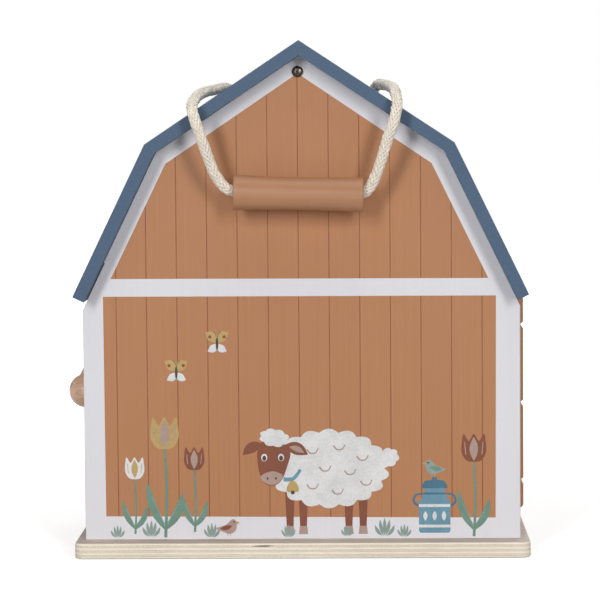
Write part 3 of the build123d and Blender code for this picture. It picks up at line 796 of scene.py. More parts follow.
class Tree(Nodes):
    """Writes one Geometry Nodes tree with named inputs."""

    def __init__(self, name: str) -> None:
        """Starts a tree that takes and gives a geometry."""
        super().__init__(bpy.data.node_groups.new(name, "GeometryNodeTree"))
        for way in ("INPUT", "OUTPUT"):
            self.tree.interface.new_socket("Geometry", in_out=way, socket_type="NodeSocketGeometry")
        self.start = self.tree.nodes.new("NodeGroupInput")
        self.end = self.tree.nodes.new("NodeGroupOutput")

    def ask(self, name: str, kind: str) -> Value:
        """Adds a named input and returns its socket."""
        self.tree.interface.new_socket(name, in_out="INPUT", socket_type=f"NodeSocket{kind}")
        return self.start.outputs[name]

    def give(self, geometry: Value, material: Value) -> None:
        """Ends the tree: instances made real, and the material set."""
        real = self.node("GeometryNodeRealizeInstances", {0: geometry})
        dressed = self.node("GeometryNodeSetMaterial", {"Geometry": real.outputs[0], "Material": material})
        self.tree.links.new(dressed.outputs[0], self.end.inputs[0])

    def apply(self, mesh: bpy.types.Mesh, values: dict[str, Value]) -> bpy.types.Mesh:
        """Runs the tree on a mesh.

        Args:
            mesh: what it starts from.
            values: its inputs, by name.

        Returns:
            The plain mesh that it makes.
        """
        holder = bpy.data.objects.new("tree_holder", mesh)
        bpy.context.scene.collection.objects.link(holder)
        step = holder.modifiers.new("tree", "NODES")
        step.node_group = self.tree
        for item in self.tree.interface.items_tree:
            if item.in_out == "INPUT" and item.name in values:
                step[item.identifier] = values[item.name]
        return evaluated(holder)


@functools.cache
def braid_tree() -> Tree:
    """The tree that lays a round braid along a path; two yarns pass over two."""
    t = Tree("round_braid")
    radius = t.ask("Braid radius", "Float")
    yarn = t.ask("Yarn radius", "Float")
    lay = t.ask("Lay length", "Float")
    wave = t.ask("Crossing height", "Float")
    carriers = t.ask("Yarns", "Int")
    material = t.ask("Yarn material", "Material")
    path = t.node("GeometryNodeMeshToCurve", {0: t.start.outputs["Geometry"]})
    values = {"Curve": path.outputs[0], "Length": BRAID_STEP}
    steps = t.node("GeometryNodeResampleCurve", values, mode="LENGTH")
    copies = t.node("GeometryNodeDuplicateElements", {0: steps.outputs[0], 2: carriers}, domain="SPLINE")
    index = copies.outputs[1]
    odd = t.math("MODULO", index, 2.0)
    hand = t.math("MULTIPLY_ADD", odd, -2.0, 1.0)
    pair = t.math("FLOOR", t.math("DIVIDE", index, 2.0))
    half = t.math("DIVIDE", carriers, 2.0)
    length = t.node("GeometryNodeSplineParameter").outputs["Length"]
    turn = t.math("MULTIPLY", t.math("DIVIDE", length, lay), 2 * math.pi)
    start = t.math("MULTIPLY", t.math("DIVIDE", pair, half), 2 * math.pi)
    angle = t.math("MULTIPLY_ADD", turn, hand, start)
    phase = t.math("MULTIPLY_ADD", t.math("MULTIPLY", turn, half), t.math("MULTIPLY", hand, 0.5), 0.0)
    phase = t.math("ADD", phase, t.math("MULTIPLY_ADD", pair, math.pi, -math.pi / 4))
    lift = t.math("MULTIPLY", t.math("MULTIPLY", t.math("COSINE", phase), wave), hand)
    swell = t.node("GeometryNodeInputNamedAttribute", {"Name": "swell"}, data_type="FLOAT").outputs[0]
    loose = t.node("GeometryNodeInputPosition").outputs[0]
    values = {"Vector": loose, "W": index, "Scale": SLACK_SCALE, "Detail": 1.0}
    slack = t.node("ShaderNodeTexNoise", values, noise_dimensions="4D")
    uneven = t.math("SUBTRACT", slack.outputs[0], 0.5)
    uneven = t.math("MULTIPLY", uneven, t.math("MULTIPLY", yarn, SLACK_SHARE))
    out = t.math("ADD", t.math("ADD", t.math("ADD", radius, lift), uneven), swell)
    normal = t.node("GeometryNodeInputNormal").outputs[0]
    tangent = t.node("GeometryNodeInputTangent").outputs[0]
    side = t.vector("CROSS_PRODUCT", {0: tangent, 1: normal})
    along_n = t.vector("SCALE", {0: normal, "Scale": t.math("COSINE", angle)})
    along_s = t.vector("SCALE", {0: side, "Scale": t.math("SINE", angle)})
    way = t.vector("ADD", {0: along_n, 1: along_s})
    offset = t.vector("SCALE", {0: way, "Scale": out})
    moved = t.node("GeometryNodeSetPosition", {0: copies.outputs[0], "Offset": offset})
    section = t.node("GeometryNodeCurvePrimitiveCircle", {"Resolution": 6, "Radius": yarn})
    values = {0: moved.outputs[0], "Profile Curve": section.outputs[0], "Fill Caps": True}
    tube = t.node("GeometryNodeCurveToMesh", values)
    smooth = t.node("GeometryNodeSetShadeSmooth", {0: tube.outputs[0]})
    t.give(smooth.outputs[0], material)
    return t


@functools.cache
def scatter_tree() -> Tree:
    """The tree that sets one fastener on every point, each turned by chance."""
    t = Tree("set_fasteners")
    fastener = t.ask("Fastener", "Object")
    seed = t.ask("Turn seed", "Int")
    material = t.ask("Fastener material", "Material")
    info = t.node("GeometryNodeObjectInfo", {0: fastener})
    values = {0: (0, 0, 0), 1: (0, 0, 2 * math.pi), "Seed": seed}
    chance = t.node("FunctionNodeRandomValue", values, data_type="FLOAT_VECTOR")
    copies = t.node(
        "GeometryNodeInstanceOnPoints",
        {
            "Points": t.start.outputs["Geometry"],
            "Instance": info.outputs["Geometry"],
            "Rotation": chance.outputs[0],
        },
    )
    t.give(copies.outputs[0], material)
    return t


def cross_recess(foot: Vector, along: Vector, span: float, width: float, depth: float) -> bmesh.types.BMesh:
    """A cross-shaped cutter for a screw head.

    Args:
        foot: the middle of the head's top, in millimetres.
        along: out of the head.
        span: the cross's full span.
        width: its arms' width.
        depth: how deep it goes.

    Returns:
        The cutter.
    """
    shape = bmesh.new()
    turn = Vector((0, 0, 1)).rotation_difference(along.normalized()).to_matrix()
    half, arm = span / 2, width / 2
    outline = [
        (half, -arm), (half, arm), (arm, arm), (arm, half), (-arm, half), (-arm, arm),
        (-half, arm), (-half, -arm), (-arm, -arm), (-arm, -half), (arm, -half), (arm, -arm),
    ]
    points = [(foot + turn @ Vector((x, y, -depth))) * MM for x, y in outline]
    prism(shape, points, turn @ Vector((0, 0, depth + 1)) * MM)
    return shape


def ellipse(
    middle: Point, wide: float, high: float, turn: float = 0.0, lobes: int = 0, depth: float = 0.0
) -> list[Point]:
    """Points on an ellipse.

    Args:
        middle: its middle.
        wide: its half width.
        high: its half height.
        turn: how far it is turned, in degrees.
        lobes: how many scallops run round it.
        depth: how deep they go, as a share of the radius.

    Returns:
        The outline.
    """
    steps = max(36, lobes * 8)
    cos_turn, sin_turn = math.cos(math.radians(turn)), math.sin(math.radians(turn))
    outline = []
    for i in range(steps):
        angle = 2 * math.pi * i / steps
        reach = 1 - depth + depth * abs(math.sin(lobes * angle / 2)) if lobes else 1.0
        x, z = wide * reach * math.cos(angle), high * reach * math.sin(angle)
        outline.append((middle[0] + x * cos_turn - z * sin_turn, middle[1] + x * sin_turn + z * cos_turn))
    return outline


def smooth(points: Sequence[Point], closed: bool = True, steps: int = 6) -> list[Point]:
    """A smooth line through some points.

    Args:
        points: the points.
        closed: whether it returns to its start.
        steps: how many runs there are between two points.

    Returns:
        The line's points.
    """
    count = len(points)
    line = []
    for i in range(count if closed else count - 1):
        places = [i + k for k in (-1, 0, 1, 2)]
        near = [points[k % count if closed else min(max(k, 0), count - 1)] for k in places]
        for step in range(steps):
            t = step / steps
            weights = (
                -0.5 * t + t * t - 0.5 * t**3,
                1 - 2.5 * t * t + 1.5 * t**3,
                0.5 * t + 2 * t * t - 1.5 * t**3,
                -0.5 * t * t + 0.5 * t**3,
            )
            x, z = (sum(w * p[k] for w, p in zip(weights, near)) for k in (0, 1))
            line.append((x, z))
    return line if closed else line + [points[-1]]


def ribbon(line: Sequence[Point], widths: Sequence[float]) -> list[Point]:
    """The outline of a line with the given width at each of its points."""
    left, right = [], []
    for i, (x, z) in enumerate(line):
        (x0, z0), (x1, z1) = line[max(i - 1, 0)], line[min(i + 1, len(line) - 1)]
        length = math.hypot(x1 - x0, z1 - z0)
        out_x, out_z = -(z1 - z0) / length * widths[i] / 2, (x1 - x0) / length * widths[i] / 2
        left.append((x + out_x, z + out_z))
        right.append((x - out_x, z - out_z))
    return left + right[::-1]


def stroke(points: Sequence[Point], width: float) -> list[Point]:
    """The outline of a curved stroke that thins a little towards its end."""
    line = smooth(points, closed=False)
    return ribbon(line, [width * (1 - 0.35 * i / len(line)) for i in range(len(line))])


def leaf(foot: Point, tip: Point, width: float, bow: float = 0.0) -> list[Point]:
    """The outline of a leaf.

    Args:
        foot: where it starts.
        tip: where it ends.
        width: its largest width.
        bow: how far its middle stands off to the left of the straight line.

    Returns:
        The outline.
    """
    length = math.hypot(tip[0] - foot[0], tip[1] - foot[1])
    out_x, out_z = (foot[1] - tip[1]) / length, (tip[0] - foot[0]) / length
    line, widths = [], []
    for i in range(15):
        t = i / 14
        lift = bow * math.sin(math.pi * t)
        x, z = (foot[k] + (tip[k] - foot[k]) * t + out * lift for k, out in ((0, out_x), (1, out_z)))
        line.append((x, z))
        widths.append(max(width * math.sin(math.pi * min(max(t, 0.02), 0.98)) ** 0.85, 0.05))
    return ribbon(line, widths)


@dataclass
class Picture:
    """Motifs printed on an end wall, each colour a thin closed plate of ink."""

    name: str
    side: int
    face: float = 76.0
    sunk: float = 0.03
    film: float = 0.02
    plates: list[tuple[Tone, list[Point], int]] = field(default_factory=list)

    def lay(self, tone: Tone, outline: list[Point]) -> None:
        """Adds one colour, over all that it crosses.

        Args:
            tone: the ink.
            outline: its outline, as seen from in front of the wall, in millimetres.
        """
        under = [level for _, other, level in self.plates if self.crosses(outline, other)]
        self.plates.append((tone, outline, 1 + max(under, default=0)))

    def patch(self, tone: Tone, x: float, z: float, points: Sequence[Point], rounded: bool = False) -> None:
        """Adds one colour whose outline is given from the point x, z.

        Args:
            tone: the ink.
            x: where the outline's origin is.
            z: its height.
            points: the outline.
            rounded: whether a smooth line runs through the points.
        """
        outline = [(x + a, z + b) for a, b in points]
        self.lay(tone, smooth(outline) if rounded else outline)

    @staticmethod
    def crosses(first: list[Point], second: list[Point]) -> bool:
        """Whether the boxes round two outlines overlap."""
        return all(
            min(p[i] for p in first) < max(p[i] for p in second)
            and min(p[i] for p in second) < max(p[i] for p in first)
            for i in (0, 1)
        )

    def sheep(self, x: float, z: float) -> None:
        """A sheep that looks to the left, its feet from x on."""
        for step in (15.0, 22.5, 48.0, 56.0):
            leg = [(step - 2.7, 24), (step + 2.7, 24), (step + 1.9, 4), (step - 1.9, 4)]
            self.patch(Tone.RUST, x, z, leg)
            hoof = [(step - 2.1, 4.6), (step + 2.1, 4.6), (step + 2.6, 0), (step - 2.6, 0)]
            self.patch(Tone.MAUVE, x, z, hoof)
        self.lay(Tone.CREAM, ellipse((x + 70, z + 43), 6.5, 5.5, 20, 7, 0.16))
        self.lay(Tone.CREAM, ellipse((x + 37, z + 37), 34, 22.5, 0, 18, 0.09))
        for a, b in ((28, 48), (43, 50), (56, 44), (35, 38), (49, 36), (28, 28), (42, 25), (58, 30)):
            curl = [(x + a + c, z + b + d) for c, d in ((-3.4, 0), (-1.5, -2.2), (1.5, -2.0), (3, 0.6))]
            self.lay(Tone.MAUVE, stroke(curl, 0.9))
        self.lay(Tone.RUST, leaf((x + 0, z + 51), (x - 11, z + 45), 6.0, -1.2))
        self.lay(Tone.RUST, leaf((x + 12, z + 50), (x + 25, z + 45), 7.0, 1.0))
        self.lay(Tone.MAUVE, leaf((x + 15, z + 49.3), (x + 23, z + 46), 3.2, 0.6))
        face = [
            (0, 30), (5, 27.5), (10, 30), (13.5, 38), (15.5, 47), (11, 54), (3.5, 55), (-2.5, 49), (-2.8, 39),
        ]
        self.patch(Tone.RUST, x, z, face, True)
        muzzle = [(-1.2, 33), (0.5, 29.6), (5, 27.9), (9.6, 30), (10.8, 33.6), (5, 35.6)]
        self.patch(Tone.MAUVE, x, z, muzzle, True)
        for a in (2.6, 7.2):
            self.lay(Tone.INK, ellipse((x + a, z + 31.6), 0.5, 0.8))
        for a in (0.8, 10.2):
            self.lay(Tone.CREAM, ellipse((x + a, z + 43.4), 1.7, 2.1))
            self.lay(Tone.INK, ellipse((x + a, z + 43.0), 1.1, 1.5))
        self.lay(Tone.CREAM, ellipse((x + 6.5, z + 54.5), 8.6, 5.2, -8, 8, 0.15))
        self.lay(Tone.SKY, stroke([(x + 11.5, z + 31), (x + 17, z + 31.5), (x + 21, z + 36.5)], 2.4))
        bell = [(13.2, 24.5), (14.2, 28.5), (16.6, 30.4), (19, 28.5), (20, 24.5), (16.6, 23.8)]
        self.patch(Tone.MUSTARD, x, z, bell, True)
        self.lay(Tone.INK, ellipse((x + 16.6, z + 23.6), 1.1, 1.1))

    def tulip(self, x: float, z: float, height: float, size: float, bloom: Tone, heart: Tone) -> None:
        """A tulip on a stem with two leaves."""
        lean = 0.06 * size
        for hand in (-1, 1):
            tip = (x + hand * size * 0.62, z + height * (0.62 if hand < 0 else 0.5))
            self.lay(Tone.TEAL, leaf((x, z + height * 0.08), tip, size * 0.3, hand * size * -0.12))
            rib_end = (tip[0] * 0.75 + x * 0.25, tip[1] * 0.75 + z * 0.25)
            self.lay(Tone.SAGE, stroke([(x, z + height * 0.12), rib_end], 0.5))
        stem = [(x, z), (x + lean, z + height * 0.5), (x, z + height + 0.1 * size)]
        self.lay(Tone.TEAL, stroke(stem, 0.11 * size))
        cup = [
            (0, 0), (0.3, 0.06), (0.49, 0.4), (0.47, 0.85), (0.4, 1.12), (0.2, 0.84), (0, 1.12),
            (-0.2, 0.84), (-0.4, 1.12), (-0.47, 0.85), (-0.49, 0.4), (-0.3, 0.06),
        ]
        self.lay(bloom, smooth([(x + a * size, z + height + b * size) for a, b in cup]))
        self.lay(heart, leaf((x, z + height + 0.06 * size), (x, z + height + 0.98 * size), size * 0.34))
        for hand in (-1, 1):
            vein = [(x + hand * a * size, z + height + b * size) for a, b in ((0.32, 0.3), (0.37, 0.8))]
            self.lay(heart, stroke(vein, 0.04 * size))

    def grass(self, x: float, z: float, height: float, tone: Tone = Tone.SAGE) -> None:
        """A tuft of grass."""
        for i in (-2, -1, 0, 1, 2):
            tip = (x + i * 0.27 * height, z + height * (1 - 0.13 * i * i * 0.8))
            self.lay(tone, leaf((x + i * 0.07 * height, z), tip, 0.2 * height, -0.03 * i * height))

    def churn(self, x: float, z: float) -> None:
        """A milk churn with pale bands."""
        for hand in (-1, 1):
            ear = [(x + hand * a, z + b) for a, b in ((8.4, 15), (11.6, 17.5), (10.4, 21.4), (5.4, 22.2))]
            self.lay(Tone.DEEP_SKY, stroke(ear, 1.5))
        half = [(8, 0), (8.8, 1.2), (8.8, 17.5), (5.6, 22), (5.4, 25), (6.8, 26)]
        self.patch(Tone.SKY, x, z, half + [(-a, b) for a, b in half[::-1]])
        bands = ((3.0, 4.6, Tone.CREAM), (14.6, 16.2, Tone.CREAM), (21.6, 22.8, Tone.DEEP_SKY))
        for low, high, tone in bands:
            wide = 8.8 if high < 20 else 5.7
            self.patch(tone, x, z, [(-wide, low), (wide, low), (wide, high), (-wide, high)])
        for a in (-5.2, 0, 5.2):
            self.lay(Tone.CREAM, leaf((x + a, z + 6.9), (x + a, z + 12.3), 2.4))
        lid = [(7.2, 25.2), (7.2, 26.6), (5.4, 29.4), (1.4, 30), (1.4, 31.6)]
        self.patch(Tone.DEEP_SKY, x, z, lid + [(-a, b) for a, b in lid[::-1]])

    def butterfly(self, x: float, z: float) -> None:
        """A butterfly seen from above, a little turned."""
        for hand in (-1, 1):
            self.lay(Tone.MUSTARD, leaf((x, z + 0.5), (x + hand * 6.4, z + 6.2), 5.6, hand * 0.8))
            self.lay(Tone.CREAM, leaf((x, z), (x + hand * 5.2, z - 4.2), 4.2, hand * -0.6))
            self.lay(Tone.RUST, ellipse((x + hand * 4.0, z + 3.9), 0.9, 0.9))
            feeler = [(x, z + 3), (x + hand * 0.9, z + 5.6), (x + hand * 2.2, z + 6.8)]
            self.lay(Tone.INK, stroke(feeler, 0.35))
        self.lay(Tone.INK, ellipse((x, z), 0.75, 3.6))

    def bird(self, x: float, z: float, hand: int, tone: Tone, wing: Tone) -> None:
        """A small bird standing at x; hand is 1 where it looks to the right."""
        for a in (-0.3, 1.3):
            self.lay(Tone.MUSTARD, stroke([(x + hand * a, z + 2.4), (x + hand * (a + 0.3), z)], 0.45))
        body = [
            (-6.4, 4.6), (-2, 2.4), (1.2, 1.5), (4.0, 2.9), (5.0, 5.6), (4.9, 8.2), (3.2, 9.8), (1.2, 8.8),
            (-1.2, 6.4),
        ]
        self.lay(tone, smooth([(x + hand * a, z + b) for a, b in body]))
        self.lay(wing, leaf((x + hand * 2.4, z + 6.0), (x - hand * 4.2, z + 4.4), 2.6, hand * 0.3))
        self.lay(Tone.MUSTARD, [(x + hand * a, z + b) for a, b in ((4.8, 8.6), (6.9, 7.7), (4.9, 7.0))])
        self.lay(Tone.INK, ellipse((x + hand * 3.5, z + 8.2), 0.5, 0.55))

    def build(self) -> None:
        """Puts the whole picture on its wall."""
        tones = sorted({tone for tone, _, _ in self.plates}, key=lambda tone: tone.name)
        shape = bmesh.new()
        for tone, outline, level in self.plates:
            y = self.side * (self.face - self.sunk)
            points = [Vector((-self.side * x, y, z)) * MM for x, z in outline]
            depth = Vector((0, self.side * (self.sunk + self.film * level), 0)) * MM
            prism(shape, points, depth, tones.index(tone))
        finishes = [PrintInk(tone) for tone in tones]
        add_piece(self.name, mesh_from(shape, self.name, None), finishes, HOUSE)


@dataclass
class Artwork:
    """The two printed pictures: a meadow with a sheep at the back, flowers by the doors in front."""

    def back(self) -> Picture:
        """Lays out the picture on the back wall."""
        art = Picture("back_artwork", -1)
        art.tulip(-94.0, 12.0, 31.0, 11.0, Tone.CREAM, Tone.MUSTARD)
        art.tulip(-77.0, 10.0, 50.0, 16.0, Tone.MUSTARD, Tone.MAUVE)
        art.tulip(-60.5, 13.0, 35.0, 11.5, Tone.RUST, Tone.MAUVE)
        art.tulip(96.0, 10.0, 42.0, 14.0, Tone.RUST, Tone.MAUVE)
        art.churn(74.0, 12.0)
        art.sheep(-22.0, 11.5)
        tufts = (
            (-104, 10, 7), (-85, 10.5, 9), (-51, 10, 8), (-8, 10, 7), (25, 10.5, 6), (46, 10.5, 10),
            (57, 10, 7),
        )
        for x, z, height in tufts:
            art.grass(x, z, height)
        art.bird(74.0, 43.4, -1, Tone.SAGE, Tone.TEAL)
        art.bird(-42.0, 10.4, 1, Tone.MAUVE, Tone.RUST)
        art.butterfly(-70.0, 103.0)
        art.butterfly(-47.0, 119.0)
        return art

    def front(self) -> Picture:
        """Lays out the picture on the front wall."""
        art = Picture("front_artwork", 1)
        for hand in (-1, 1):
            art.tulip(hand * 92.0, 10.5, 52.0, 15.0, Tone.MUSTARD, Tone.MAUVE)
            art.tulip(hand * 78.0, 11.5, 33.0, 11.0, Tone.CREAM, Tone.MUSTARD)
            art.grass(hand * 85.0, 10.0, 10.0)
            art.grass(hand * 101.0, 10.0, 7.0)
        art.butterfly(84.0, 104.0)
        return art

    def build(self) -> None:
        """Prints both pictures."""
        self.back().build()
        self.front().build()


@dataclass
class Carcass:
    """The boards that don't move: base, walls, roof and the wood inside."""

    boards: dict[str, tuple[Finish, str]] = field(
        default_factory=lambda: {
            "base_board": (BASE_PLY, "plywood"),
            "back_wall": (BACK_PRINT, "printed_wall"),
            "front_wall": (FRONT_PRINT, "printed_wall"),
            "left_wall": (WHITE_PAINT, "white_paint"),
            "right_wall": (WHITE_PAINT, "white_paint"),
            "roof_upper_left": (ROOF_PAINT, "blue_paint"),
            "roof_upper_right": (ROOF_PAINT, "blue_paint"),
            "roof_lower_left": (ROOF_PAINT, "blue_paint"),
            "roof_lower_right": (ROOF_PAINT, "blue_paint"),
            "side_boarding": (BOARDING_PAINT, "plank_paint"),
            "window_sill": (WHITE_TRIM, "white_paint"),
            "loft_floor": (LOFT_PLY, "plywood"),
            "loft_ledges": (RAIL_WOOD, "plywood"),
            "corner_battens": (BATTEN_WOOD, "plywood"),
            "ridge_rail": (RAIL_WOOD, "plywood"),
            "front_door_stop": (KNOB_WOOD, "natural_wood"),
            "side_door_stop": (RAIL_WOOD, "natural_wood"),
        }
    )

    relief_foot: Point = (-122.0, 136.72)
    relief_head: Point = (-108.48, 164.5)
    relief_closed: float = 0.6

    def narrow_relief(self, wall: bpy.types.Object) -> None:
        """Narrows the gap that the back wall leaves along the left eave.

        Args:
            wall: the back wall.
        """
        foot, head = Vector(self.relief_foot), Vector(self.relief_head)
        along = (head - foot).normalized()
        for vertex in wall.data.vertices:
            place = Vector((vertex.co.x, vertex.co.z)) / MM
            if abs((place - foot).cross(along)) > 0.1 or place.y < foot.y - 0.1:
                continue
            if place.y < head.y - 1:
                vertex.co.z += self.relief_closed / along.x * MM
            else:
                vertex.co.x -= self.relief_closed / along.y * MM

    def build(self) -> None:
        """Eases the edges of every fixed board and dresses it."""
        for node, (finish, slot) in self.boards.items():
            board = soften(node, finish, HOUSE, 0.35, ROOF_SEAMS if node.startswith("roof") else ())
            if node == "back_wall":
                self.narrow_relief(board)


@dataclass
class Doors:
    """The two barn doors with their bracing, and the side door."""

    def build(self) -> None:
        """Eases and dresses the leaves, and dresses their pins."""
        for side in ("left", "right"):
            body = f"{side}_barn_door"
            soften(f"front_door_{side}", FRONT_DOOR_PAINT, body, 0.3)
            soften(f"door_bracing_{side}", WHITE_TRIM, body, 0.35)
        soften("side_door", SIDE_DOOR_PAINT, "side_door_leaf", 0.3)
        for node in ("front_door_pins", "side_door_pins"):
            redress(node, ZINC)


@dataclass
class Knobs:
    """The ball knob, the barn doors' knobs and the turn button, all turned from bare wood."""

    radius: float = 10.0
    flat: float = 9.3
    centre: tuple[float, float, float] = (-129.3, 4.0, 84.1)
    small_radius: float = 5.5
    small_seat: float = 3.0
    small_x: float = 6.6
    small_height: float = 72.0
    seat_y: float = 78.5
    button_radius: float = 12.0
    button_straight: float = 13.2
    button_thickness: float = 16.8
    button_tip: float = 5.0
    button_centre: tuple[float, float, float] = (-120.3, 32.5, 83.4)

    def ball(self, radius: float, flat: float) -> list[Point]:
        """Section of a ball with a flat seat, from the seat's middle to its front.

        Args:
            radius: the ball's radius.
            flat: how far the seat is from the ball's centre.

        Returns:
            The section, with the seat at distance 0.
        """
        start = math.degrees(math.acos(-flat / radius))
        return [(0.0, 0.0)] + [(flat + x, r) for x, r in corner_arc((0, 0), radius, start, 0, 28)]

    def build(self) -> None:
        """Makes the knobs and the button."""
        foot = (self.centre[0] + self.flat, self.centre[1], self.centre[2])
        mesh = mesh_from(turned(self.ball(self.radius, self.flat), foot, (-1, 0, 0)), "ball_knob", 50)
        knob = add_piece("ball_knob", mesh, [KNOB_WOOD], "side_door_leaf")
        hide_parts("side_door_knob")
        flat = math.sqrt(self.small_radius**2 - self.small_seat**2)
        for side, name in ((-1, "left"), (1, "right")):
            foot = (side * self.small_x, self.seat_y, self.small_height)
            mesh = mesh_from(turned(self.ball(self.small_radius, flat), foot, (0, 1, 0), 40), "door_knob", 50)
            body = f"{name}_barn_door"
            knob = add_piece(f"door_knob_{name}", mesh, [KNOB_WOOD], body)
            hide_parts(f"front_knob_{name}")
        section = [(0.0, 0.0), (0.0, self.button_radius - 0.5)]
        section += [(0.5, self.button_radius), (self.button_straight - 0.4, self.button_radius)]
        section += [(self.button_straight + 0.2, self.button_radius - 0.35)]
        tip = self.button_thickness
        section += [(tip - 0.3, self.button_tip + 0.6), (tip, self.button_tip), (tip, 0.0)]
        mesh = mesh_from(turned(section, self.button_centre, (-1, 0, 0)), "round_button", 30)
        button = add_piece("round_button", mesh, [KNOB_WOOD], "button_latch")
        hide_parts("turn_button")


@dataclass
class Fasteners:
    """Screws and bolts with their drive recesses."""

    bolt_x: float = -0.9
    bolt_z: float = 270.0
    face: float = 76.0
    bolt_radius: float = 3.1
    bolt_head: float = 1.6
    socket: float = 1.5
    base_places: tuple[Point, ...] = (
        (-84, -72), (-84, 72), (84, -72), (84, 72), (-116, -60), (-116, 46), (116, -60), (116, 46),
    )

    def domed(
        self, foot: Sequence[float], along: Sequence[float], radius: float, height: float
    ) -> bmesh.types.BMesh:
        """A low domed head.

        Args:
            foot: the middle of its seat, in millimetres.
            along: out of the seat.
            radius: its radius.
            height: its height.

        Returns:
            The shape.
        """
        rise = height * 0.45
        dome = (radius**2 + rise**2) / (2 * rise)
        reach = math.degrees(math.asin(radius / dome))
        top = corner_arc((height - dome, 0), dome, reach, 0, 8)
        return turned([(0.0, 0.0), (0.0, radius - 0.1), (0.1, radius)] + top, foot, along, 48)

    def bolts(self) -> None:
        """Makes the ridge bolts, each with a hexagon socket."""
        for side, name in ((-1, "back"), (1, "front")):
            seat = Vector((self.bolt_x, side * self.face, self.bolt_z))
            head = self.domed(seat, (0, side, 0), self.bolt_radius, self.bolt_head)
            tool = bmesh.new()
            corners = [math.radians(60 * i + 12) for i in range(6)]
            points = [
                (seat + Vector((self.socket * math.cos(a), side * 0.5, self.socket * math.sin(a)))) * MM
                for a in corners
            ]
            prism(tool, points, Vector((0, side * 3 * MM, 0)))
            mesh = cut_out(head, tool, "ridge_bolt")
            bolt = add_piece(f"ridge_bolt_{name}", mesh, [BOLT_STEEL], HOUSE)
            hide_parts("ridge_bolts")

    def screws(self) -> None:
        """Makes the screws under the base and those of the button and the ball knob."""
        head = self.domed((0, 0, 2.2), (0, 0, -1), 3.2, 1.8)
        tool = cross_recess(Vector((0, 0, 0.4)), Vector((0, 0, -1)), 3.0, 0.8, 1.0)
        mesh = cut_out(head, tool, "base_screw")
        pattern = bpy.data.objects.new("screw_pattern", mesh)
        places = bpy.data.meshes.new("screw_places")
        places.from_pydata([(x * MM, y * MM, 0.0) for x, y in self.base_places], [], [])
        made = scatter_tree().apply(
            places, {"Fastener": pattern, "Turn seed": 7, "Fastener material": material_of(ZINC)}
        )
        bpy.data.objects.remove(pattern)
        piece = add_piece("base_screw_heads", made, [], HOUSE)
        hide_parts("base_screws")
        for name, node, body, seat, along, radius, height in (
            ("button_screw_head", "button_screw", HOUSE, (-137.15, 30.25, 83.4), (-1, 0, 0), 2.7, 1.4),
            ("knob_screw_head", "knob_screw", "side_door_leaf", (-112.0, 4.0, 84.1), (1, 0, 0), 3.0, 1.8),
        ):
            head = self.domed(seat, along, radius, height)
            top = Vector(seat) + Vector(along) * height
            tool = cross_recess(top, Vector(along), radius * 1.05, 0.7, 0.8)
            piece = add_piece(name, cut_out(head, tool, name), [ZINC], body)
            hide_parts(node)

    def build(self) -> None:
        """Makes every fastener that shows."""
        self.bolts()
        self.screws()


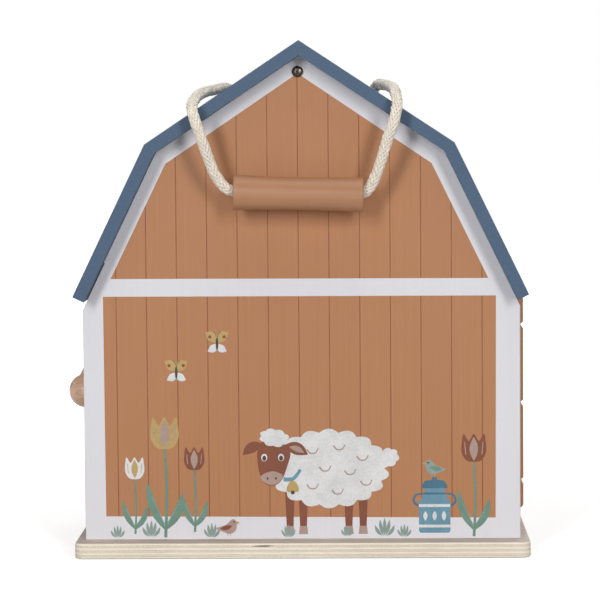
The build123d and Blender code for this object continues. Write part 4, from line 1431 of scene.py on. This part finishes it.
@dataclass
class CarryHandle:
    """The rope with its knots and the waisted grip."""

    diameter: float = 6.0
    hole_x: float = 41.3
    hole_z: float = 259.747
    slope: float = math.radians(33.519)
    left_route: tuple[tuple[float, float, float], ...] = (
        (-0.0404, 0.0, 0.2584), (-0.0433, -0.0005, 0.2625), (-0.0497, -0.0260, 0.2605),
        (-0.0552, -0.0550, 0.2591), (-0.0577, -0.0820, 0.2555), (-0.0585, -0.1010, 0.2505),
        (-0.0561, -0.1045, 0.2434), (-0.0532, -0.1030, 0.2347), (-0.0502, -0.1010, 0.2259),
        (-0.0474, -0.0985, 0.2171), (-0.0434, -0.0963, 0.2096), (-0.0378, -0.0950, 0.20425),
        (-0.0276, -0.0950, 0.20398),
    )
    right_route: tuple[tuple[float, float, float], ...] = (
        (0.0404, 0.0, 0.2584), (0.0436, -0.0005, 0.2629), (0.0453, -0.0260, 0.2631),
        (0.0500, -0.0550, 0.2620), (0.0529, -0.0850, 0.2596), (0.0542, -0.1010, 0.2519),
        (0.0523, -0.1045, 0.2436), (0.0491, -0.1030, 0.2344), (0.0461, -0.1010, 0.2252),
        (0.0429, -0.0980, 0.2148), (0.0394, -0.0960, 0.2066), (0.0345, -0.0950, 0.20232),
        (0.0268, -0.0950, 0.20253),
    )
    grip_left: tuple[float, float, float] = (-36.1, -95.0, 204.2)
    grip_right: tuple[float, float, float] = (35.3, -95.0, 202.3)
    end_radius: float = 9.8
    waist_radius: float = 9.0
    bore_radius: float = 3.4
    flare_radius: float = 5.6
    flare_depth: float = 6.5
    end_round: float = 1.0
    braid_radius: float = 2.3
    yarn_radius: float = 0.68
    lay_length: float = 27.0
    crossing_height: float = 0.18
    yarns: int = 16
    knot_swell: float = 3.9
    knot_depth: float = 12.0
    knot_reach: float = 3.1

    def path(self, name: str, points: Sequence[Sequence[float]]) -> bpy.types.Mesh:
        """The smooth line that a rope follows.

        Args:
            name: its name.
            points: the route's points in metres.

        Returns:
            The line as a mesh of points and edges, with how far the braid swells at each.
        """
        curve = bpy.data.curves.new(name, "CURVE")
        curve.dimensions = "3D"
        spline = curve.splines.new("NURBS")
        spline.points.add(len(points) - 1)
        for control, point in zip(spline.points, points):
            control.co = (*point, 1.0)
        spline.order_u = 3
        spline.use_endpoint_u = True
        spline.resolution_u = 24
        holder = bpy.data.objects.new(name, curve)
        bpy.context.scene.collection.objects.link(holder)
        line = evaluated(holder)
        line.attributes.new("swell", "FLOAT", "POINT")
        return line

    def braid(self, line: bpy.types.Mesh) -> bpy.types.Mesh:
        """Lays the braid along a line."""
        values = {
            "Braid radius": self.braid_radius * MM,
            "Yarn radius": self.yarn_radius * MM,
            "Lay length": self.lay_length * MM,
            "Crossing height": self.crossing_height * MM,
            "Yarns": self.yarns,
            "Yarn material": material_of(COTTON),
        }
        return braid_tree().apply(line, values)

    def rope(self, side: str, route: Sequence[Sequence[float]]) -> None:
        """Makes one free stretch of rope.

        Args:
            side: left or right.
            route: its route's points.
        """
        line = self.path(f"rope_path_{side}", route)
        piece = add_piece(f"rope_{side}_braid", self.braid(line), [], None)
        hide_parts(f"rope_{side}")
        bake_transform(piece)

    def knot(self, side: str) -> None:
        """Makes the rope in the roof's hole and the knot below it."""
        sign = -1 if side == "left" else 1
        normal = Vector((sign * math.sin(self.slope), 0, math.cos(self.slope)))
        mouth = Vector((sign * self.hole_x, 0, self.hole_z))
        line = bpy.data.meshes.new(f"knot_path_{side}")
        depths = [0.4 - 0.5 * i for i in range(47)]
        points = [(mouth + normal * depth) * MM for depth in depths]
        line.from_pydata(points, [(i, i + 1) for i in range(len(points) - 1)], [])
        swell = line.attributes.new("swell", "FLOAT", "POINT")
        shares = [math.exp(-(((d + self.knot_depth) / self.knot_reach) ** 4)) for d in depths]
        swell.data.foreach_set("value", [self.knot_swell * MM * share for share in shares])
        piece = add_piece(f"rope_knot_{side}", self.braid(line), [], HOUSE)
        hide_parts(f"rope_anchor_{side}")

    def grip(self) -> None:
        """Makes the turned grip."""
        left, right = Vector(self.grip_left), Vector(self.grip_right)
        length = (right - left).length
        turn = self.end_round
        outer = corner_arc((turn, self.end_radius - turn), turn, 180, 90, 4)
        steps = 20
        rise = self.end_radius - self.waist_radius
        for i in range(1, steps):
            at = turn + (length - 2 * turn) * i / steps
            share = 2 * at / length - 1
            outer.append((at, self.waist_radius + rise * share**2))
        outer += corner_arc((length - turn, self.end_radius - turn), turn, 90, 0, 4)
        for at, inward in ((length, -1), (0.0, 1)):
            flare = [(at, self.flare_radius + 0.4), (at + inward * 0.4, self.flare_radius)]
            flare += [(at + inward * self.flare_depth, self.bore_radius)]
            outer += flare if inward < 0 else flare[::-1]
        mesh = mesh_from(turned(outer, self.grip_left, right - left), "grip", 50)
        piece = add_piece("turned_grip", mesh, [GRIP_PAINT], "handle_grip")
        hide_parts("grip")

    def build(self) -> None:
        """Makes the ropes, the knots and the grip."""
        self.rope("left", self.left_route)
        self.rope("right", self.right_route)
        for side in ("left", "right"):
            self.knot(side)
        redress("rope_in_grip", COTTON)
        self.grip()


@dataclass
class Studio:
    """Floor, lamps, world and camera."""

    camera_place: tuple[float, float, float] = (0.03441, -1.49145, 0.25401)
    yaw: float = math.radians(1.412)
    pitch: float = math.radians(4.4725)
    roll: float = math.radians(-0.4564)
    lens: float = 152.97
    glow_reach: tuple[float, float] = (0.22, 0.6)
    glow: tuple[float, float] = (0.66, 1.0)
    floor_half_width: float = 6.0
    surround: float = 0.06

    def floor(self) -> None:
        """Makes the pale floor, which glows to the camera and in reflections but keeps the toy's shadow."""
        g = Graph("floor_paper")
        tooth = g.noise((400, 400, 400), 2.0)
        colour = g.mix(g.span(tooth, 0.3, 0.7), (0.46, 0.46, 0.46, 1), (0.51, 0.51, 0.51, 1))
        paper = g.node("ShaderNodeBsdfDiffuse", {"Color": colour, "Roughness": 0.5})
        rays = g.node("ShaderNodeLightPath")
        seen = g.math("MAXIMUM", rays.outputs["Is Camera Ray"], rays.outputs["Is Glossy Ray"])
        seen = g.math("MAXIMUM", seen, rays.outputs["Is Transmission Ray"])
        away = g.hypot(g.axis(0), g.axis(1))
        bright = g.math("MULTIPLY", seen, g.span(away, *self.glow_reach, *self.glow))
        glow = g.node("ShaderNodeEmission", {"Color": (1, 1, 1, 1), "Strength": bright})
        both = g.node("ShaderNodeAddShader", {0: paper.outputs[0], 1: glow.outputs[0]})
        g.node("ShaderNodeOutputMaterial", {0: both.outputs[0]})
        shape = bmesh.new()
        bmesh.ops.create_grid(shape, x_segments=2, y_segments=2, size=self.floor_half_width)
        floor = bpy.data.objects.new("floor", mesh_from(shape, "floor", None))
        floor.data.materials.append(g.material)
        bpy.context.scene.collection.objects.link(floor)

    def lamp(
        self,
        name: str,
        place: Sequence[float],
        target: Sequence[float],
        size: float,
        power: float,
        tall: float | None = None,
    ) -> None:
        """Hangs one softbox.

        Args:
            name: its name.
            place: where it hangs, in metres.
            target: what it points at.
            size: its width.
            power: its power in watts.
            tall: its height; a square one leaves it out.
        """
        light = bpy.data.lights.new(name, "AREA")
        light.shape = "RECTANGLE"
        light.size = size
        light.size_y = tall or size
        light.energy = power
        lamp = bpy.data.objects.new(name, light)
        lamp.location = place
        lamp.rotation_euler = (Vector(target) - Vector(place)).to_track_quat("-Z", "Y").to_euler()
        bpy.context.scene.collection.objects.link(lamp)

    def world(self) -> None:
        """Sets an even pale surround, plain white where the camera looks into it."""
        world = bpy.data.worlds.new("studio")
        bpy.context.scene.world = world
        world.use_nodes = True
        nodes = Nodes(world.node_tree)
        nodes.tree.nodes.clear()
        rays = nodes.node("ShaderNodeLightPath").outputs["Is Camera Ray"]
        strength = nodes.node("ShaderNodeMapRange", {0: rays, 3: self.surround, 4: 1.0}).outputs[0]
        back = nodes.node("ShaderNodeBackground", {0: (1.0, 1.0, 1.0, 1.0), 1: strength})
        nodes.node("ShaderNodeOutputWorld", {0: back.outputs[0]})

    def camera(self) -> None:
        """Sets the camera at the photograph's angle."""
        level = math.cos(self.pitch)
        look = Vector((-math.sin(self.yaw) * level, math.cos(self.yaw) * level, -math.sin(self.pitch)))
        right = Vector((math.cos(self.yaw), math.sin(self.yaw), 0))
        up = right.cross(look)
        turned_right = right * math.cos(self.roll) + up * math.sin(self.roll)
        turned_up = up * math.cos(self.roll) - right * math.sin(self.roll)
        data = bpy.data.cameras.new("camera")
        data.lens = self.lens
        data.sensor_width = 36.0
        data.clip_end = 50.0
        camera = bpy.data.objects.new("camera", data)
        axes = Matrix((turned_right, turned_up, -look)).transposed()
        camera.matrix_world = Matrix.Translation(self.camera_place) @ axes.to_4x4()
        bpy.context.scene.collection.objects.link(camera)
        bpy.context.scene.camera = camera

    def build(self) -> None:
        """Sets the whole studio."""
        bpy.context.scene.view_settings.view_transform = "Standard"
        self.floor()
        self.world()
        self.lamp("left_key", (-1.04, -2.79, 0.95), (0, 0, 0.15), 0.42, 36.2, 1.3)
        self.lamp("right_key", (1.1, -2.79, 0.95), (0, 0, 0.15), 0.42, 32.2, 1.3)
        self.lamp("top_softbox", (0.0, -0.3, 1.6), (0, 0, 0.12), 1.2, 6.8)
        self.lamp("left_softbox", (-1.7, 0.25, 0.6), (0, 0, 0.15), 1.0, 4.0)
        self.lamp("right_softbox", (1.7, 0.25, 0.6), (0, 0, 0.15), 1.0, 4.0)
        self.lamp("back_softbox", (0.3, 1.6, 1.0), (0, 0, 0.15), 1.2, 21.0)
        self.camera()


def corners(box: Any) -> list[list[float]]:
    """A box as plain lists of numbers."""
    return [[float(x) for x in corner] for corner in box]


def main() -> None:
    """Builds the toy farmhouse round the frame."""
    logging.basicConfig(level=logging.INFO, format="%(name)s: %(message)s")
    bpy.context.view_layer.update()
    parts = (Studio(), CarryHandle(), Carcass(), Artwork(), Doors(), Knobs(), Fasteners())
    for part in parts:
        log.info("building %s", type(part).__name__)
        part.build()
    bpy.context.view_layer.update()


if __name__ == "__main__":
    main()
